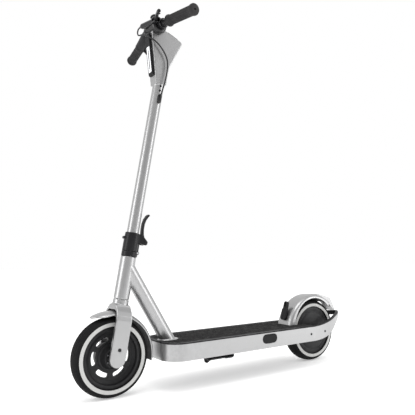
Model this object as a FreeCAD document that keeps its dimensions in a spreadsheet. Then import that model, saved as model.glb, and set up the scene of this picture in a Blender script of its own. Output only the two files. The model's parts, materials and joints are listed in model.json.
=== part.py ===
"""Electric kick scooter with a folding stem, as one parametric document.

Row frame: +Z up, forward is -Y, the rider's left is +X, the ground is Z = 0 and the origin is under the
middle of the scooter's box. Three local frames keep the numbers simple:
  chassis  origin on the ground under the rear axle, so y counts back from that axle;
  steer    origin on the raked steering axis beside the front axle, its z axis up that axis;
  head     origin at the middle of the handlebar, with the row's directions.
"""
import FreeCAD, Part
import math
import os
import Sketcher

from FreeCAD import Placement, Rotation, Vector

DIMENSIONS = {
    # overall layout, millimetres and degrees
    "wheelbase": 790, "wheel_radius": 110, "tail_reach": 158, "rake": 10.4, "fork_offset": 3.5,
    "bar_height": 1114, "bar_forward": 650, "bar_half_length": 216, "bar_back": 18, "bar_drop": 27,
    # deck
    "deck_half_width": 95, "deck_front": 650, "skirt_top": 136, "skirt_bottom": 88, "skirt_wall": 5,
    "nose_corner": 58, "deck_plate": 4, "mat_thick": 4, "trim_width": 10, "trim_rise": 3.3,
    "well_half_width": 33.5, "well_front": 125.2, "shelf_end": 62, "cover_thick": 3,
    # tubes
    "head_tube_outer": 22.5, "head_tube_inner": 18, "head_tube_low": 160.8, "head_tube_high": 284,
    "down_tube_outer": 22, "down_tube_inner": 19, "steerer_outer": 14, "stem_outer": 17.8, "stem_inner": 15.6,
    "stem_low": 308, "stem_high": 955, "bar_tube": 11.1, "grip_outer": 15.3,
    # wheels
    "tyre_half_width": 25, "rim_seat": 78, "rim_flange": 84, "rim_half_width": 19.5, "axle": 6, "motor_axle": 7,
    "slot_inner": 44, "slot_outer": 57, "slot_count": 6, "slot_degrees": 46, "web_half": 6,
    "drum_inner": 34, "drum_outer": 38, "hub_half_width": 30, "bearing_outer": 14, "bearing_width": 8,
    # fork and fold
    "leg_inner": 38, "leg_outer": 50, "leg_half_depth": 23, "crown_top": 141, "crown_inner": 130,
    "fold_split": 300, "fold_pin_back": 20.5, "fold_pin_up": 298, "latch_back": 40.5, "latch_up": 333,
    "clamp_top": 355,
    # fenders
    "front_fender_outer": 127, "rear_fender_outer": 130, "fender_wall": 2.5, "rear_fender_half": 36,
    "front_fender_half": 33,
    # running clearances
    "running_gap": 0.05,
}


class Size:
    """A number together with the sheet expression that gives it, so arithmetic keeps both."""

    def __init__(self, value, text):
        self.value = float(value)
        self.text = text

    def _join(self, other, sign, value, flip=False):
        text = other.text if isinstance(other, Size) else repr(float(other))
        left, right = (text, self.text) if flip else (self.text, text)
        return Size(value, f"({left} {sign} {right})")

    def __add__(self, other):
        return self._join(other, "+", self.value + number(other))

    def __radd__(self, other):
        return self._join(other, "+", number(other) + self.value, True)

    def __sub__(self, other):
        return self._join(other, "-", self.value - number(other))

    def __rsub__(self, other):
        return self._join(other, "-", number(other) - self.value, True)

    def __mul__(self, other):
        return self._join(other, "*", self.value * number(other))

    __rmul__ = __mul__

    def __truediv__(self, other):
        return self._join(other, "/", self.value / number(other))

    def __neg__(self):
        return Size(-self.value, f"(0 - {self.text})")


def number(size):
    return size.value if isinstance(size, Size) else float(size)


doc = FreeCAD.newDocument("kick_scooter")
sheet = doc.addObject("Spreadsheet::Sheet", "dims")
for row, (alias, value) in enumerate(DIMENSIONS.items(), start=1):
    sheet.set(f"A{row}", alias)
    sheet.set(f"B{row}", str(value))
    sheet.setAlias(f"B{row}", alias)
doc.recompute()

D = {alias: Size(value, f"dims.{alias}") for alias, value in DIMENSIONS.items()}
V = {alias: float(sheet.get(alias)) for alias in DIMENSIONS}
REAR_AXLE_Y = (V["wheelbase"] + V["wheel_radius"] - V["tail_reach"]) / 2
FRONT_AXLE_Y = REAR_AXLE_Y - V["wheelbase"]
RAKE = math.radians(V["rake"])

# Local frames as placements in the row frame.
CHASSIS = Placement(Vector(0, REAR_AXLE_Y, 0), Rotation())
# The steering axis passes a little behind the front axle.
STEER = Placement(Vector(0, FRONT_AXLE_Y + V["fork_offset"] * math.cos(RAKE),
                         V["wheel_radius"] - V["fork_offset"] * math.sin(RAKE)),
                  Rotation(Vector(1, 0, 0), -V["rake"]))
AXLE_IN_FORK = -V["fork_offset"]
HEAD = Placement(Vector(0, REAR_AXLE_Y - V["bar_forward"], V["bar_height"]), Rotation())
# Turned parts have their axis on Z; this turns it to the row's X, with the part's X pointing up.
ALONG_X = Rotation(Vector(0, 0, 1), Vector(0, -1, 0), Vector(1, 0, 0), "ZXY")
REAR_WHEEL = Placement(Vector(0, REAR_AXLE_Y, V["wheel_radius"]), ALONG_X)
FRONT_WHEEL = Placement(Vector(0, FRONT_AXLE_Y, V["wheel_radius"]), ALONG_X)

nodes = []


def node(thing, label, placement=None):
    """Names a finished sub-part and puts it in its place."""
    thing.Label = label
    if placement is not None:
        thing.Placement = placement
    nodes.append(thing)
    return thing


def bind(thing, prop, size):
    if isinstance(size, Size):
        thing.setExpression(prop, size.text)
    else:
        setattr(thing, prop, size)


# ---- PartDesign helpers -------------------------------------------------------------------------------
def outline(body, name, plane, points, offset=0):
    """A closed outline of straight runs whose corners are held by dimensions from the origin."""
    sketch = body.newObject("Sketcher::SketchObject", name)
    support = next(f for f in body.Origin.OriginFeatures if f.Role == plane)
    sketch.AttachmentSupport = [(support, "")]
    sketch.MapMode = "FlatFace"
    sketch.AttachmentOffset = Placement(Vector(0, 0, offset), Rotation())
    corners = [Vector(number(x), number(y), 0) for x, y in points]
    count = len(points)
    for index in range(count):
        sketch.addGeometry(Part.LineSegment(corners[index], corners[(index + 1) % count]), False)
    for index in range(count):
        sketch.addConstraint(Sketcher.Constraint("Coincident", index, 2, (index + 1) % count, 1))
    for index, (x, y) in enumerate(points):
        for kind, size in (("DistanceX", x), ("DistanceY", y)):
            if number(size) == 0:
                axis = -2 if kind == "DistanceX" else -1
                sketch.addConstraint(Sketcher.Constraint("PointOnObject", index, 1, axis))
                continue
            place = sketch.addConstraint(Sketcher.Constraint(kind, -1, 1, index, 1, number(size)))
            if isinstance(size, Size):
                sketch.setExpression(f"Constraints[{place}]", size.text)
    return sketch


def new_body(name):
    return doc.addObject("PartDesign::Body", name)


def turned(name, profile, degrees=360):
    """A body turned about its own Z: profile points are (radius, height)."""
    body = new_body(name)
    sketch = outline(body, name + "_profile", "XZ_Plane", profile)
    turn = body.newObject("PartDesign::Revolution", name + "_turn")
    turn.Profile = sketch
    turn.ReferenceAxis = (sketch, ["V_Axis"])
    turn.Angle = degrees
    sketch.Visibility = False
    return body


def padded(name, plane, points, length, offset=0, midplane=True):
    """A body padded from an outline on one of its origin planes."""
    body = new_body(name)
    sketch = outline(body, name + "_outline", plane, points, offset)
    pad = body.newObject("PartDesign::Pad", name + "_pad")
    pad.Profile = sketch
    pad.Midplane = midplane
    bind(pad, "Length", length)
    return body


def pocket(body, name, plane, points, length=400, offset=0):
    """Cuts an outline right through a body, both ways from its plane."""
    before = body_volume(body)
    sketch = outline(body, name + "_outline", plane, points, offset)
    cut = body.newObject("PartDesign::Pocket", name)
    cut.Profile = sketch
    cut.Midplane = True
    bind(cut, "Length", length)
    if body_volume(body) > before - 1e-3:
        raise RuntimeError(f"{name} cut nothing")
    return cut


def body_volume(body):
    doc.recompute()
    return body.Shape.Volume


def fillet(body, radius, chosen):
    """Rounds the edges of a body that the function chosen(edge) picks."""
    doc.recompute()
    tip = body.Tip
    names = [f"Edge{i}" for i, edge in enumerate(tip.Shape.Edges, start=1) if chosen(edge)]
    if not names:
        raise RuntimeError(f"no edge of {body.Name} was chosen")
    rounding = body.newObject("PartDesign::Fillet", body.Name + "_round")
    rounding.Base = (tip, names)
    rounding.Radius = radius
    doc.recompute()
    if rounding.State and "Invalid" in rounding.State:
        raise RuntimeError(f"rounding of {body.Name} failed")
    return rounding


def runs_along(direction):
    """Picks straight edges that lie along a direction."""
    unit = Vector(*direction).normalize()

    def chosen(edge):
        if edge.Curve.TypeId != "Part::GeomLine":
            return False
        return abs(abs(edge.tangentAt(edge.FirstParameter).dot(unit)) - 1) < 1e-6

    return chosen


# ---- Part helpers -------------------------------------------------------------------------------------
def rod(name, radius, length, at=(0, 0, 0), direction=(0, 0, 1)):
    """A round bar from a point along a direction."""
    bar = doc.addObject("Part::Cylinder", name)
    bind(bar, "Radius", radius)
    bind(bar, "Height", length)
    bar.Placement = Placement(Vector(*map(number, at)), Rotation(Vector(0, 0, 1), Vector(*direction)))
    return bar


def block(name, low, high):
    """A box between two corners."""
    box = doc.addObject("Part::Box", name)
    for prop, start, end in zip(("Length", "Width", "Height"), low, high):
        bind(box, prop, end - start)
    box.Placement.Base = Vector(*map(number, low))
    return box


def joined(name, *parts):
    union = doc.addObject("Part::MultiFuse", name)
    union.Shapes = list(parts)
    union.Refine = True
    return union


def less(name, base, tool):
    cut = doc.addObject("Part::Cut", name)
    cut.Base = base
    cut.Tool = tool
    cut.Refine = True
    return cut


def shared(name, first, second):
    common = doc.addObject("Part::Common", name)
    common.Base = first
    common.Tool = second
    return common


def group(name, *parts):
    """Separate solids that make one node, such as a set of screws."""
    compound = doc.addObject("Part::Compound", name)
    compound.Links = list(parts)
    return compound


def freeform(name, shape):
    feature = doc.addObject("Part::Feature", name)
    feature.Shape = shape
    return feature


def ring(name, inner, outer, width, at=(0, 0, 0), direction=(0, 0, 1)):
    """A plain ring, such as a bearing, along a direction from a point."""
    return less(name, rod(name + "_outer", outer, width, at, direction),
                rod(name + "_inner", inner, width, at, direction))


def turned_solid(profile):
    """A solid of revolution about Z from (radius, height) points, for use inside a free-form part."""
    points = [Vector(number(r), 0, number(z)) for r, z in profile]
    face = Part.Face(Part.makePolygon(points + points[:1]))
    return face.revolve(Vector(), Vector(0, 0, 1), 360)


def rounded_path(points, fraction=0.45):
    """Straight runs joined by tangent arcs, each arc as large as its two runs allow."""
    edges = []
    start = points[0]
    radii = []
    for before, corner, after in zip(points, points[1:], points[2:]):
        into = (corner - before).normalize()
        out = (after - corner).normalize()
        turn = into.getAngle(out)
        reach = fraction * min((corner - before).Length, (after - corner).Length)
        radii.append(reach / math.tan(turn / 2))
        first = corner - into * reach
        last = corner + out * reach
        inward = (out - into).normalize()
        centre = corner + inward * math.hypot(reach, radii[-1])
        middle = centre - inward * radii[-1]
        edges.append(Part.LineSegment(start, first).toShape())
        edges.append(Part.Arc(first, middle, last).toShape())
        start = last
    edges.append(Part.LineSegment(start, points[-1]).toShape())
    return Part.Wire(edges), radii


def tube_along(points, outer, inner=0, fraction=0.45):
    """A round tube or cord along a rounded path; the volume is compared with section times length."""
    path, radii = rounded_path(points, fraction)
    direction = points[1] - points[0]

    def swept(radius):
        circle = Part.Wire([Part.makeCircle(radius, points[0], direction)])
        return path.makePipeShell([circle], True, True)

    solid = swept(outer)
    expected = math.pi * outer * outer * path.Length
    if abs(solid.Volume - expected) > 0.01 * expected:
        raise RuntimeError("a swept tube has the wrong volume")
    if inner:
        solid = solid.cut(swept(inner))
    return solid, path.Length, radii


# ---- Chassis ------------------------------------------------------------------------------------------
# Half widths of the tail loop, nose side first: (half width, back from the rear axle).
TAIL_PLAN = [(95, -70), (92, -20), (84, 25), (71, 62), (53, 100), (30, 135), (0, 158)]
# The loop sweeps up behind the wheel: (back from the rear axle, height).
TAIL_TOP = [(-90, 136), (5, 143), (55, 152), (110, 162), (158, 166), (190, 167)]
TAIL_BOTTOM = [(-90, 88), (-35, 89.5), (3, 96), (42, 110), (77, 129), (112, 146), (158, 152), (190, 153)]
FAR_FRONT = -720


def curve(points):
    spline = Part.BSplineCurve()
    spline.interpolate([Vector(*p) for p in points])
    return spline


def plan_wire(inset):
    """The scooter's outline seen from above, moved in by a wall thickness."""
    half = V["deck_half_width"] - inset
    front = -V["deck_front"] + inset
    corner = V["nose_corner"] - inset
    right = [(x, y, 0) for x, y in TAIL_PLAN]
    left = [(-x, y, 0) for x, y in reversed(TAIL_PLAN[:-1])]
    tail = curve(right + left).toShape()
    if inset:
        tail = tail_inset(inset)
    start, end = tail.Vertexes[0].Point, tail.Vertexes[-1].Point
    diagonal = corner * math.sqrt(0.5)
    centre_y = front + corner
    inner = half - corner
    edges = [tail, Part.LineSegment(end, Vector(-half, centre_y, 0)).toShape()]
    edges.append(Part.Arc(Vector(-half, centre_y, 0), Vector(-inner - diagonal, centre_y - diagonal, 0),
                          Vector(-inner, front, 0)).toShape())
    edges.append(Part.LineSegment(Vector(-inner, front, 0), Vector(inner, front, 0)).toShape())
    edges.append(Part.Arc(Vector(inner, front, 0), Vector(inner + diagonal, centre_y - diagonal, 0),
                          Vector(half, centre_y, 0)).toShape())
    edges.append(Part.LineSegment(Vector(half, centre_y, 0), start).toShape())
    return Part.Wire(edges)


def tail_inset(inset):
    """The tail curve moved inwards along its own normals."""
    tail = curve([(x, y, 0) for x, y in TAIL_PLAN] + [(-x, y, 0) for x, y in reversed(TAIL_PLAN[:-1])])
    low, high = tail.FirstParameter, tail.LastParameter
    samples = 24
    moved = []
    for step in range(samples + 1):
        at = low + (high - low) * step / samples
        along = tail.tangent(at)[0]
        inward = Vector(-along.y, along.x, 0)
        moved.append(tail.value(at) + inward * inset)
    moved[0].x = V["deck_half_width"] - inset
    moved[-1].x = -moved[0].x
    spline = Part.BSplineCurve()
    spline.interpolate(moved)
    return spline.toShape()


def plan_solid(inset, low=60, high=200):
    face = Part.Face(plan_wire(inset))
    solid = face.extrude(Vector(0, 0, high - low))
    solid.translate(Vector(0, 0, low))
    return solid


def side_band(bottom, top, lift_bottom=0, lift_top=0):
    """The space between two lines of the side view, right across the scooter."""
    upper = [Vector(0, y, z + lift_top) for y, z in top]
    lower = [Vector(0, y, z + lift_bottom) for y, z in bottom]
    corners = [Vector(0, FAR_FRONT, lower[0].z), Vector(0, FAR_FRONT, upper[0].z)]
    edges = [Part.LineSegment(corners[0], corners[1]).toShape()]
    edges.append(Part.LineSegment(corners[1], upper[0]).toShape())
    edges.append(curve([tuple(p) for p in upper]).toShape())
    edges.append(Part.LineSegment(upper[-1], lower[-1]).toShape())
    edges.append(curve([tuple(p) for p in reversed(lower)]).toShape())
    edges.append(Part.LineSegment(lower[0], corners[0]).toShape())
    band = Part.Face(Part.Wire(edges)).extrude(Vector(300, 0, 0))
    band.translate(Vector(-150, 0, 0))
    return band


def box_shape(low, high):
    shape = Part.makeBox(high[0] - low[0], high[1] - low[1], high[2] - low[2])
    shape.translate(Vector(*low))
    return shape


def pill(length, height, depth, centre):
    """A stadium-shaped plug along Y, with its depth along X from centre."""
    radius = height / 2
    half = length / 2 - radius
    solid = box_shape((0, -half, -radius), (depth, half, radius))
    for side in (-half, half):
        solid = solid.fuse(Part.makeCylinder(radius, depth, Vector(0, side, 0), Vector(1, 0, 0)))
    solid.translate(Vector(*centre))
    return solid.removeSplitter()


FLAP_CENTRE = (91, -276, 118)
FLAP_LENGTH = 62
FLAP_HEIGHT = 29
FLAP_THICK = 4.6
HINGE_RADIUS = 0.8
FLAP_HINGE = Vector(FLAP_CENTRE[0] + FLAP_THICK, FLAP_CENTRE[1], FLAP_CENTRE[2] - FLAP_HEIGHT / 2)
SOCKET_BODY = 8.5
SCREW_SPOTS = ((-84, 112.5), (-10, 115))
SCREW_HEAD = 4.2
PLATE_LOW = V["skirt_top"] - 1 - V["deck_plate"]
PLATE_HIGH = V["skirt_top"] - 1


def side_surface(back):
    """Half width of the tail loop's outer face at a distance back from the rear axle."""
    tail = curve([(x, y, 0) for x, y in TAIL_PLAN]).toShape()
    across = Part.makeLine(Vector(0, back, 0), Vector(200, back, 0))
    if back < TAIL_PLAN[0][1]:
        return V["deck_half_width"]
    return tail.distToShape(across)[1][0][0].x


def make_deck():
    wall = V["skirt_wall"]
    band = side_band(TAIL_BOTTOM, TAIL_TOP)
    skirt = plan_solid(0).cut(plan_solid(wall)).common(band)
    inside = plan_solid(wall)
    half, front, back = V["well_half_width"], -V["well_front"], -V["shelf_end"]
    well = box_shape((-half, front, 60), (half, 220, 200))
    plate = inside.common(box_shape((-150, FAR_FRONT, PLATE_LOW), (150, back, PLATE_HIGH))).cut(well)
    low = V["skirt_bottom"] + V["cover_thick"]
    bulkhead = inside.common(box_shape((-150, front - 3, low), (150, front, PLATE_LOW)))
    walls = [box_shape((s * half - (3 if s < 0 else 0), front, low),
                       (s * half + (3 if s > 0 else 0), back, PLATE_LOW)) for s in (-1, 1)]
    frame = skirt.multiFuse([plate, bulkhead] + walls).removeSplitter()
    # A recess behind the charging flap, with a hole for the socket.
    y, z = FLAP_CENTRE[1:]
    recess = box_shape((82.5, y - 35, z - 17), (90.5, y + 35, PLATE_LOW + 1))
    frame = frame.fuse(recess).cut(pill(FLAP_LENGTH + 0.8, FLAP_HEIGHT + 0.8, 20, (85.5, y, z)))
    frame = frame.cut(Part.makeCylinder(SOCKET_BODY + 0.02, 20, Vector(75, y, z), Vector(1, 0, 0)))
    hinge = Part.makeCylinder(HINGE_RADIUS + 0.3, 16.6, FLAP_HINGE - Vector(0, 8.3, 0), Vector(0, 1, 0))
    frame = frame.cut(hinge)
    for y, z in SCREW_SPOTS:
        frame = frame.cut(Part.makeCylinder(2.6, 300, Vector(-150, y, z), Vector(1, 0, 0)))
        for side in (-1, 1):
            seat = Vector(side * (side_surface(y) - 1.2), y, z)
            frame = frame.cut(Part.makeCylinder(SCREW_HEAD + 0.1, 20, seat, Vector(side, 0, 0)))
    node(freeform("deck_frame_shape", frame), "deck_frame", CHASSIS)

    # Black edge: a strip on top of the band, and a liner inside the tail loop.
    rise = V["trim_rise"]
    strip = plan_solid(1.2).cut(plan_solid(V["trim_width"] + 1.2))
    strip = strip.common(side_band(TAIL_TOP, TAIL_TOP, 0, rise))
    liner = plan_solid(wall).cut(plan_solid(wall + 3.5)).common(side_band(TAIL_BOTTOM, TAIL_TOP, 2, 0))
    liner = liner.common(box_shape((-150, back, 60), (150, 220, 220)))
    for y, z in SCREW_SPOTS:
        liner = liner.cut(box_shape((-88, y - 6.5, z - 7.5), (88, y + 6.5, z + 7.5)))
    trim = strip.fuse(liner).removeSplitter()
    node(freeform("deck_trim_shape", trim), "deck_trim", CHASSIS)

    # Rubber mat inside the edge, with holes for the down tube's foot and the rear fender.
    mat = plan_solid(V["trim_width"] + 1.5).common(
        box_shape((-150, FAR_FRONT, PLATE_HIGH), (150, back, PLATE_HIGH + V["mat_thick"])))
    fender_side, fender_front = V["rear_fender_half"] + 0.4, -V["rear_fender_outer"] + 2
    mat = mat.cut(box_shape((-fender_side, fender_front, 60), (fender_side, 220, 200)))
    mat = mat.cut(foot_shape(0.4, 60, 200))
    node(freeform("deck_mat_shape", mat), "deck_mat", CHASSIS)

    cover = plan_solid(wall).common(
        box_shape((-150, FAR_FRONT, V["skirt_bottom"]), (150, front, low)))
    node(freeform("bottom_cover_shape", cover), "bottom_cover", CHASSIS)


FOOT_CENTRE = (0, -604)


def foot_shape(grow, low, high):
    """The oval flange at the foot of the down tube."""
    ellipse = Part.Ellipse(Vector(0, 0, 0), 34 + grow, 26 + grow)
    face = Part.Face(Part.Wire([ellipse.toShape()]))
    solid = face.extrude(Vector(0, 0, high - low))
    solid.rotate(Vector(), Vector(0, 0, 1), 90)
    solid.translate(Vector(FOOT_CENTRE[0], FOOT_CENTRE[1], low))
    return solid


def steer_to_chassis(back, up):
    """A point of the steering plane as (back from the rear axle, height)."""
    point = STEER.multVec(Vector(0, back, up))
    return point.y - REAR_AXLE_Y, point.z


def make_frame_tubes():
    low, high = V["head_tube_low"], V["head_tube_high"]
    head = turned("head_tube_body", [
        (D["head_tube_inner"], D["head_tube_low"]), (D["head_tube_outer"], D["head_tube_low"]),
        (D["head_tube_outer"], D["head_tube_high"]), (D["head_tube_inner"], D["head_tube_high"])])
    node(head, "head_tube", STEER)

    # The down tube is mitred to the head tube and stands on the deck plate.
    top_y, top_z = steer_to_chassis(0, (low + high) / 2 + 32)
    top = Vector(0, top_y, top_z)
    bottom = Vector(0, FOOT_CENTRE[1], PLATE_HIGH)
    past = bottom + (bottom - top).normalize() * 60
    length = (past - top).Length
    tube = Part.makeCylinder(V["down_tube_outer"], length, top, past - top)
    bore = Part.makeCylinder(V["down_tube_inner"], length, top, past - top)
    mitre = Part.makeCylinder(V["head_tube_outer"], 600, Vector(0, 0, -100))
    mitre.Placement = CHASSIS.inverse().multiply(STEER)
    under = box_shape((-100, -900, -100), (100, 100, PLATE_HIGH))
    flange = foot_shape(0, PLATE_HIGH, PLATE_HIGH + V["mat_thick"] + 1)
    pipe = tube.cut(under).fuse(flange).cut(bore).cut(mitre).cut(under)
    solid = max(pipe.Solids, key=lambda s: s.Volume)
    node(freeform("down_tube_shape", solid), "down_tube", CHASSIS)

    gap = D["running_gap"]
    rings = [ring(f"headset_ring_{i}", D["steerer_outer"] + gap, D["head_tube_inner"], 10, (0, 0, z))
             for i, z in enumerate((low + 1, high - 11))]
    node(group("headset_rings", *rings), "headset_bearings", STEER)


def make_deck_contents():
    low = V["skirt_bottom"] + V["cover_thick"]
    battery = padded("battery_body", "XY_Plane", [(-68, -500), (68, -500), (68, -210), (-68, -210)],
                     34, low + 1, False)
    fillet(battery, 6, runs_along((0, 0, 1)))
    node(battery, "battery_pack", CHASSIS)
    controller = padded("controller_body", "XY_Plane", [(-40, -200), (40, -200), (40, -145), (-40, -145)],
                        28, low + 1, False)
    fillet(controller, 3, runs_along((0, 0, 1)))
    node(controller, "controller", CHASSIS)

    # Charging socket: a flanged cup behind the side wall, with a bore for the plug.
    socket = turned("socket_body", [
        (6, 0), (10, 0), (10, -4), (SOCKET_BODY, -4), (SOCKET_BODY, -18), (0, -18), (0, -14), (6, -14)])
    face = Placement(Vector(89.5, REAR_AXLE_Y + FLAP_CENTRE[1], FLAP_CENTRE[2]), ALONG_X)
    node(socket, "charge_socket", face)

    flap = pill(FLAP_LENGTH, FLAP_HEIGHT, FLAP_THICK, FLAP_CENTRE)
    barrel = Part.makeCylinder(HINGE_RADIUS, 16, FLAP_HINGE - Vector(0, 8, 0), Vector(0, 1, 0))
    node(freeform("flap_shape", flap.fuse(barrel)), "charge_flap", CHASSIS)


def make_deck_screws():
    start = 64.1
    screws = []
    for side in (-1, 1):
        for i, (y, z) in enumerate(SCREW_SPOTS):
            seat = side_surface(y) - 1.2
            shank = rod(f"side_shank_{side}_{i}", 2.5, seat - start, (side * start, y, z), (side, 0, 0))
            head = rod(f"side_head_{side}_{i}", SCREW_HEAD, 1.5, (side * seat, y, z), (side, 0, 0))
            screws.append(joined(f"side_screw_{side}_{i}", shank, head))
        for i, y in enumerate((-600, -540, -350, -210)):
            screws.append(rod(f"under_screw_{side}_{i}", 3.5, 1.4, (side * 78, y, V["skirt_bottom"] - 1.4)))
    node(group("deck_screw_set", *screws), "deck_screws", CHASSIS)


def make_rear_end():
    radius = V["wheel_radius"]
    # Steel brackets that carry the axle inside the side bands.
    plates = []
    for side in (-1, 1):
        low_x, high_x = sorted((side * 58, side * 64))
        plate = box_shape((low_x, -V["well_front"], 97), (high_x, 14, 127))
        rib_low, rib_high = sorted((side * 64, side * 84.5))
        for y, z in SCREW_SPOTS:
            rib = box_shape((rib_low, y - 6, z - 7), (rib_high, y + 6, z + 7))
            plate = plate.fuse(rib)
            plate = plate.cut(Part.makeCylinder(2.6, 60, Vector(side * 64, y, z), Vector(side, 0, 0)))
        plate = plate.cut(Part.makeCylinder(V["motor_axle"] + 0.02, 200, Vector(-100, 0, radius), Vector(1, 0, 0)))
        plates.append(plate)
    node(freeform("axle_bracket_pair", Part.makeCompound(plates)), "axle_brackets", CHASSIS)

    axle = rod("rear_axle_rod", D["motor_axle"], 152, (-76, 0, radius), (1, 0, 0))
    node(axle, "rear_axle")
    axle.Placement = CHASSIS.multiply(axle.Placement)
    nuts = []
    for side in (-1, 1):
        nut = doc.addObject("Part::Prism", f"rear_nut_{'left' if side > 0 else 'right'}")
        nut.Polygon = 6
        nut.Circumradius = 12
        nut.Height = 9
        nut.Placement = Placement(Vector(side * 48.9, 0, radius), Rotation(Vector(0, 0, 1), Vector(side, 0, 0)))
        hole = rod(nut.Name + "_hole", D["motor_axle"] + 0.02, 9, (side * 48.9, 0, radius), (side, 0, 0))
        nuts.append(less(nut.Name + "_cut", nut, hole))
    node(group("rear_nut_pair", *nuts), "rear_axle_nuts", CHASSIS)

    stator = ring("stator_ring", D["motor_axle"] + 0.02, 62, 28, (-14, 0, radius), (1, 0, 0))
    node(stator, "motor_stator", CHASSIS)


def section_of_fender(half, outer, wall, skirt):
    """Half-round fender section as (radius, across) points: outer side first, then the inner side back."""
    crown = [(skirt, half), (outer - 13, half), (outer - 6, half - 3), (outer - 2, half - 10),
             (outer, half - 24), (outer, -(half - 24)), (outer - 2, -(half - 10)),
             (outer - 6, -(half - 3)), (outer - 13, -half), (skirt, -half)]
    inner = []
    for r, x in crown:
        sign = 1 if number(x) > 0 else -1
        side = abs(number(x)) > number(half) - 5
        inner.append((r if number(r) == skirt else r - wall * (0.7 if side else 1), x - sign * wall))
    return crown + inner[::-1]


def fender_placement(wheel, rear_degrees):
    """Turns a part-turned fender so that it ends rear_degrees behind the top of its wheel."""
    return wheel.multiply(Placement(Vector(), Rotation(Vector(0, 0, 1), -rear_degrees)))


def on_rear_fender(radius, degrees):
    """A point round the rear wheel, this many degrees behind its top, as (back, up)."""
    turn = math.radians(degrees)
    return radius * math.sin(turn), V["wheel_radius"] + radius * math.cos(turn)


def make_rear_fender():
    front_degrees, rear_degrees = 78.4, 41
    outer = V["rear_fender_outer"]
    fender = turned("rear_fender_body",
                    section_of_fender(D["rear_fender_half"], D["rear_fender_outer"], D["fender_wall"], 98),
                    front_degrees + rear_degrees)
    # The side opening is a circle set a little forward of and above the axle.
    fender.Placement = fender_placement(REAR_WHEEL, rear_degrees)
    arch = rod("fender_arch", 99.4, 200, (-100, REAR_AXLE_Y - 3, V["wheel_radius"] + 18.5), (1, 0, 0))
    shell = less("rear_fender_cut", fender, arch)
    below = block("fender_foot_cut", (-100, 0, 0), (100, 300, PLATE_HIGH))
    node(less("rear_fender_open", shell, below), "rear_fender")

    # Tail light: a hump over the back of the fender whose rear face leans.
    top, low = (105, 217.5), (127, 177)
    crown = rod("tail_crown_room", outer + 0.05, 100, (-50, 0, V["wheel_radius"]), (1, 0, 0))
    hump = padded("tail_housing_body", "YZ_Plane", [
        on_rear_fender(outer - 2, 4), on_rear_fender(outer + 0.6, 6), (50, 238), (92, 226), top, low, (120, 172.5),
        on_rear_fender(outer - 2, 40.5)], 40)
    node(less("tail_housing_cut", hump, crown), "tail_light_housing", CHASSIS)
    lean = Vector(0, low[1] - top[1], top[0] - low[0]).normalize() * -1
    lens = box_shape((-15, 0.1, -18), (15, 3.1, 18))
    lens = lens.makeFillet(5, [e for e in lens.Edges if abs(e.tangentAt(0).y) > 0.99])
    middle = Placement(Vector(0, (top[0] + low[0]) / 2, (top[1] + low[1]) / 2), Rotation(Vector(0, 1, 0), lean))
    node(freeform("tail_lens_shape", lens), "tail_light_lens", CHASSIS.multiply(middle))

    # Folding hook: a round-ended plate with a loop at its top, on a foot against the front of the fender.
    hook = padded("hook_body", "XZ_Plane", [
        (-13, -22), (-8, -29), (8, -29), (13, -22), (13, 6), (9, 14), (8, 34), (4, 38), (-4, 38), (-8, 34),
        (-9, 14), (-13, 6)], 11, 0, False)
    pocket(hook, "hook_slot", "XZ_Plane", [(-3.5, 18), (3.5, 18), (3.5, 33), (-3.5, 33)], 60)
    fillet(hook, 2.5, runs_along((0, 1, 0)))
    place = Placement(Vector(0, REAR_AXLE_Y - 112.3, 181), Rotation(Vector(1, 0, 0), -17))
    foot = block("hook_foot", (-9, -2, -24), (9, 14, -4))
    hook.Placement = place
    foot.Placement = place.multiply(foot.Placement)
    surface = rod("hook_surface", outer + 0.05, 100, (-50, REAR_AXLE_Y, V["wheel_radius"]), (1, 0, 0))
    node(less("hook_seated", joined("hook_solid", hook, foot), surface), "fender_hook")


KICK_PIVOT = (70, -505, 79)
KICK_TILT = 32


def make_kickstand():
    frame = Placement(Vector(KICK_PIVOT[0], REAR_AXLE_Y + KICK_PIVOT[1], KICK_PIVOT[2]),
                      Rotation(Vector(0, 1, 0), -KICK_TILT))
    hub = rod("kick_hub", 7, 11, (-5.5, 0, 0), (1, 0, 0))
    arm = padded("kick_arm_body", "YZ_Plane", [
        (0, -5), (60, -5), (70, -7), (93, -7), (96, -4), (96, 4), (93, 7), (70, 7), (60, 5), (0, 5)], 10)
    fillet(arm, 1.5, runs_along((1, 0, 0)))
    bore = rod("kick_bore", 3.05, 30, (-15, 0, 0), (1, 0, 0))
    node(less("kick_bored", joined("kick_leg", arm, hub), bore), "kickstand", frame)

    ears = []
    for side in (-1, 1):
        low_x, high_x = sorted((side * 6.2, side * 10))
        ear = box_shape((low_x, -8, -6), (high_x, 8, 30))
        ear = ear.fuse(Part.makeCylinder(8, 3.8, Vector(low_x, 0, -1), Vector(1, 0, 0)))
        ears.append(ear)
    yoke = ears[0].fuse(ears[1]).fuse(Part.makeCylinder(3, 21, Vector(-10.5, 0, 0), Vector(1, 0, 0)))
    yoke.Placement = frame
    base_low = V["skirt_bottom"] - 2.5
    plate = box_shape((KICK_PIVOT[0] - 24, REAR_AXLE_Y + KICK_PIVOT[1] - 14, base_low),
                      (KICK_PIVOT[0] + 12, REAR_AXLE_Y + KICK_PIVOT[1] - 9, V["skirt_bottom"]))
    below = box_shape((-200, -600, 0), (200, 600, V["skirt_bottom"]))
    yoke = yoke.common(below)
    back = box_shape((KICK_PIVOT[0] - 16, REAR_AXLE_Y + KICK_PIVOT[1] - 14, base_low - 4),
                     (KICK_PIVOT[0] + 9, REAR_AXLE_Y + KICK_PIVOT[1] - 8, V["skirt_bottom"]))
    bracket = yoke.fuse(back).fuse(plate).removeSplitter()
    node(freeform("kick_bracket_shape", bracket), "kickstand_bracket")


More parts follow.
